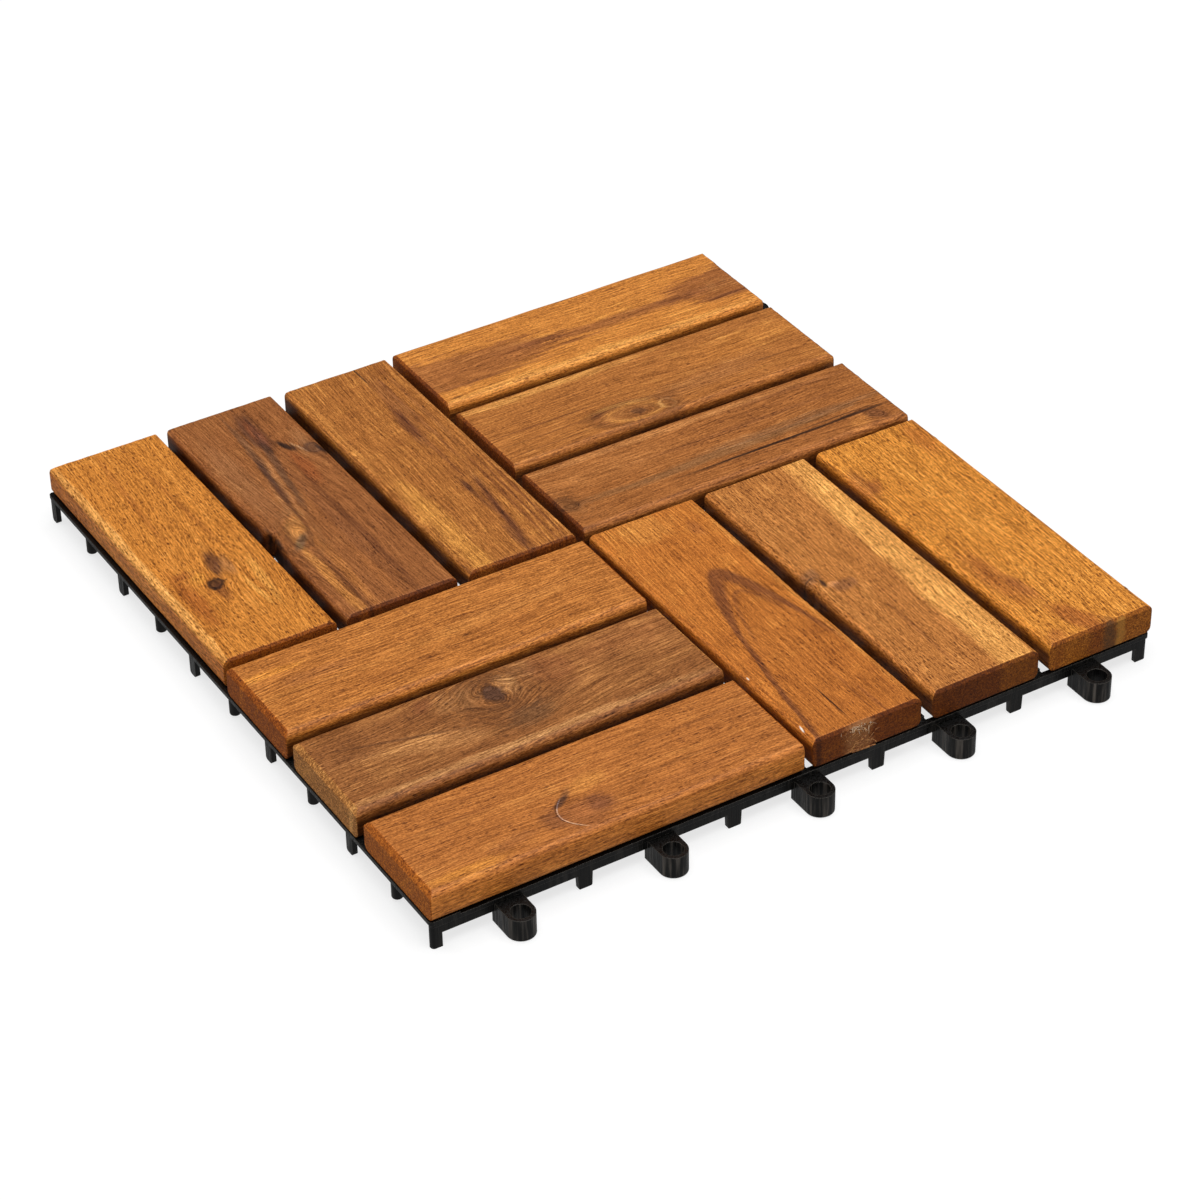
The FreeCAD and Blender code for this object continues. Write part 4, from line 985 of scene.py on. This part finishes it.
# Outer slat: orange brown, its front side in full view, with a knot's smudge and pale crack.
finish_slat(
    "front_left_outer", (197, 127, 61), (176, 106, 48), (147, 85, 37), heart=(-180.0, -40.0, -0.02),
    # Its side tint lightens its long sides, the front one in full view: painted light.
    contrast=0.72, pores=0.16, mottle=0.3, end=(1.25, 1.05, 0.55), side=(1.4, 1.36, 1.1),
    bevels=(0.9, 1.9),
    streaks=[
        (-84.0, -139.8, 15.0, 8.0, 0.0, 0.9, (152, 90, 46), 0.85),
        (-77.0, -138.4, 5.5, 5.0, 0.0, 0.8, (140, 82, 44), 0.7),
        (-96.0, -137.6, 5.0, 5.4, 0.0, 0.8, (138, 82, 44), 0.65),
        (-84.5, -139.5, 4.0, 3.6, 0.0, 0.7, (206, 126, 60), 0.5),
        (-88.5, -131.0, 4.2, 1.9, 0.6, 0.6, (96, 60, 38), 0.9),
        (-85.0, -128.0, 3.0, 2.0, 0.6, 0.6, (130, 80, 44), 0.7),
        (-76.0, -126.5, 9.0, 4.0, 0.2, 0.8, (206, 134, 62), 0.6),
        (-133.0, -145.0, 17.0, 4.0, 0.0, 0.8, (214, 138, 56), 0.65),
        (-112.0, -140.0, 12.0, 3.0, 0.1, 0.9, (160, 96, 48), 0.6),
        (-126.0, -120.0, 24.0, 0.9, 0.0, 0.7, (140, 80, 36), 0.75),
        (-118.0, -112.0, 26.0, 0.7, 0.03, 0.7, (146, 84, 38), 0.6),
        (-45.0, -133.0, 36.0, 0.9, 0.0, 0.8, (146, 86, 40), 0.65),
        (-40.0, -141.0, 30.0, 2.4, 0.0, 0.9, (160, 94, 44), 0.5),
        (-30.0, -118.0, 30.0, 1.0, 0.0, 0.9, (148, 88, 42), 0.6)],
    loops=[
        (-92.9, -137.6, 1.0, 14.0, 0.0, 0.30, 0.6, 7.0, 6.0, (250, 196, 140), 0.9, 0.0),
        (-93.5, -137.4, 1.0, 14.0, 0.0, 0.30, 0.6, 7.0, 4.0, (92, 54, 30), 0.7, 0.0)])
# Front right quarter, grain along Y. Inner slat: orange red, one dark ring in a long loop.
finish_slat(
    "front_right_inner", (216, 140, 60), (186, 110, 43), (155, 86, 33), runs="Y",
    heart=(25.0, -60.0, 0.0), contrast=0.7, pores=0.05, mottle=0.5, end=(0.44, 0.32, 0.14),
    bevels=(0.9, 1.2),
    streaks=[
        (-10.0, 20.0, 10.0, 12.0, 0.0, 0.9, (206, 134, 60), 0.6),
        (-19.0, 37.5, 6.0, 3.0, 0.0, 0.8, (160, 92, 42), 0.7),
        (-134.0, 19.8, 13.0, 0.42, 0.0, 0.3, (72, 40, 22), 0.95),
        (-128.0, 30.0, 18.0, 0.6, 0.03, 0.5, (142, 80, 36), 0.6),
        (-140.0, 33.0, 12.0, 1.2, 0.0, 0.8, (146, 82, 38), 0.6),
        (-75.0, 45.8, 80.0, 2.0, 0.0, 0.8, (204, 132, 60), 0.7)],
    # The first two marks are painted glints of light on the rounded left edge; the third is the torn patch
    # on the sawn end.
    scars_and_glints=[
        (-107.0, 2.9, 1.0, 0.24, 0.0, 0.2, (250, 236, 214), 0.9),
        (-141.2, 2.7, 2.0, 0.32, 0.1, 0.2, (255, 246, 232), 1.0),
        (-149.4, 21.0, 1.4, 6.6, 0.0, 0.9, (168, 112, 66), 0.7)],
    loops=[
        (-44.8, 28.2, -1.0, 5.3, -0.012, 3.0, 3.8, 200.0, 72.0, (122, 68, 34), 0.9, 0.12),
        (-60.5, 28.6, -1.0, 4.6, -0.01, 1.3, 1.0, 40.0, 24.0, (134, 76, 38), 0.5, 0.0)],
    dents=[(-72.0, 1, 0.5, 20.0, 0.5)])
# Middle slat: brown heartwood on one side, golden sapwood on the other, a knot at its edge.
finish_slat(
    "front_right_middle", (204, 138, 70), (181, 114, 54), (152, 92, 44), runs="Y",
    heart=(10.0, -60.0, 0.03), contrast=0.75, pores=0.34, mottle=0.3, end=(0.36, 0.23, 0.07),
    bevels=(0.9, 1.2),
    streaks=[
        (-75.0, 92.8, 320.0, 9.0, 0.037, 0.6, (218, 151, 76), 1.0),
        (-68.5, 55.4, 5.0, 5.0, 0.3, 0.8, (138, 90, 54), 0.8),
        (-79.0, 64.0, 4.0, 6.0, 0.2, 0.8, (142, 90, 54), 0.75),
        (-76.3, 60.0, 1.8, 3.0, 0.3, 0.5, (216, 146, 86), 0.75),
        (-74.2, 57.4, 3.2, 1.1, 0.1, 0.4, (62, 36, 22), 0.95),
        (-69.5, 54.5, 0.6, 3.0, 0.0, 0.5, (96, 60, 34), 0.7),
        (-115.0, 70.0, 34.0, 1.2, 0.03, 0.8, (150, 90, 44), 0.6)],
    dents=[(-73.6, -1, 1.0, 1.6, 0.8), (-80.0, -1, 0.4, 5.0, 0.6)])
# Outer slat: golden, full of short dark pores, with a few brown patches.
finish_slat(
    "front_right_outer", (228, 156, 70), (207, 133, 52), (178, 106, 37), runs="Y",
    heart=(240.0, -60.0, 0.03), contrast=0.8, pores=0.38, mottle=0.4, end=(0.66, 0.54, 0.35),
    bevels=(0.9, 1.2),
    streaks=[
        (-30.0, 105.6, 12.0, 4.0, 0.0, 0.8, (160, 94, 42), 0.75),
        (-33.0, 109.6, 5.5, 4.0, 0.4, 0.8, (170, 100, 44), 0.75),
        (-106.0, 112.0, 22.0, 7.0, -0.1, 0.95, (178, 106, 46), 0.75),
        (-115.0, 117.0, 12.0, 3.4, -0.1, 0.9, (160, 92, 42), 0.6),
        (-141.0, 122.5, 13.0, 6.0, -0.3, 0.6, (164, 92, 38), 0.85),
        (-15.0, 143.0, 15.0, 4.4, 0.0, 0.9, (184, 108, 44), 0.7),
        (-146.0, 109.0, 5.0, 4.0, 0.4, 0.9, (176, 104, 46), 0.7),
        (-148.0, 131.0, 3.0, 3.0, 0.0, 0.8, (150, 96, 48), 0.6)],
    scars_and_glints=[
        (-149.6, 131.0, 1.2, 3.6, 0.0, 0.9, (84, 62, 40), 0.6),
        (-149.6, 135.5, 1.0, 2.2, 0.0, 0.9, (196, 140, 62), 0.5)])

# Torn wood: at the front end of the inner slat the saw tore the grain. Flat slivers lie on the
# sawn face and hang from its lower edge, and fine pale hairs stand up from its top edge.
TORN_MIDDLE = 20.8
SLIVERS = 60
SLIVER_SPREAD = 2.9
SLIVER_THICKNESS = 0.09
HAIRS = 34
HAIR_SPREAD = 2.0
STRAND_SIDES = 6
STRAND_STEPS = 6
TORN_WOOD, PALE_FIBRE = 0, 1
draw = random.Random(7)
slat_low, slat_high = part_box("slat_front_right_inner")
saw_face, slat_foot, slat_top = slat_low.y / MM, slat_low.z / MM, slat_high.z / MM


def add_strand(work, start, heading, droop, length, wide, thick, kind):
    """A bent strand that thins to both ends, wide along the saw's face and thick out of it."""
    across_way = heading.cross(Vector((0, 1, 0))).normalized()
    rings = []
    for step in range(STRAND_STEPS + 1):
        share = step / STRAND_STEPS
        spot = start + heading * length * share + droop * length * share * share
        swell = 0.25 + 0.75 * math.sin(math.pi * (0.08 + 0.86 * share)) ** 0.6
        ring = []
        for side in range(STRAND_SIDES):
            turn = 2 * math.pi * side / STRAND_SIDES
            out = across_way * math.cos(turn) * wide + Vector((0, 1, 0)) * math.sin(turn) * thick
            ring.append(work.verts.new((spot + out * swell) * MM))
        rings.append(ring)
    for first, second in zip(rings, rings[1:]):
        join_rings(work, first, second)
    work.faces.new(rings[0][::-1])
    work.faces.new(rings[-1])
    work.faces.ensure_lookup_table()
    for face in work.faces[-(STRAND_STEPS * STRAND_SIDES + 2):]:
        face.material_index = kind


torn = bmesh.new()
for _ in range(SLIVERS):
    x = TORN_MIDDLE + draw.gauss(0, SLIVER_SPREAD)
    z = draw.uniform(slat_foot + 1.0, slat_top - 1.2)
    start = Vector((x, saw_face + draw.uniform(-0.12, 0.10), z))
    lean = math.radians(draw.gauss(20, 38))
    heading = Vector((math.cos(lean), draw.uniform(-0.12, 0.02), math.sin(lean))).normalized()
    droop = Vector((0, 0, draw.uniform(-0.25, 0.1)))
    add_strand(torn, start, heading, droop, draw.uniform(1.0, 3.2), draw.uniform(0.12, 0.34),
               SLIVER_THICKNESS, TORN_WOOD)
# Three long slivers hang along the lower edge: place along, height above it, length.
for x, lift, length in ((15.6, 0.9, 6.0), (18.4, 0.2, 7.0), (22.5, 0.1, 5.6)):
    start = Vector((x, saw_face - 0.05, slat_foot + lift))
    heading = Vector((0.99, -0.06, 0.05)).normalized()
    add_strand(torn, start, heading, Vector((0, 0, -0.06)), length, 0.42, 0.12, TORN_WOOD)
for _ in range(HAIRS):
    x = TORN_MIDDLE - 0.2 + draw.gauss(0, HAIR_SPREAD)
    start = Vector((x, saw_face + draw.uniform(0.0, 0.9), slat_top - draw.uniform(0.9, 2.6)))
    heading = Vector((draw.uniform(-1, 1), draw.uniform(-0.9, -0.1), draw.uniform(-0.1, 0.6))).normalized()
    droop = Vector((draw.uniform(-0.3, 0.3), -0.2, -0.5))
    thick = draw.uniform(0.05, 0.11)
    add_strand(torn, start, heading, droop, draw.uniform(1.0, 3.0), thick, thick, PALE_FIBRE)
bmesh.ops.recalc_face_normals(torn, faces=torn.faces)
torn_mesh = bpy.data.meshes.new("torn_fibres")
torn.to_mesh(torn_mesh)
torn.free()
torn_mesh.shade_smooth()
torn_fibres = add_object("torn_fibres", torn_mesh)
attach(torn_fibres, "root")
TORN_TONES = [
    ("torn_wood", (142, 80, 36), (204, 140, 78)),
    ("pale_fibre", (206, 168, 124), (246, 228, 200)),
]
for name, dull, bright in TORN_TONES:
    material, tree, surface = new_finish(name)
    tuft = cloud(tree, in_millimetres(tree), (1.1, 1.1, 1.1), 3.0)
    shade = mix_paint(tree, fade(tree, tuft, 0.35, 0.65), paint(*dull), paint(*bright))
    cover(tree, surface, {"Base Color": shade, "Roughness": 0.7})
    torn_mesh.materials.append(material)
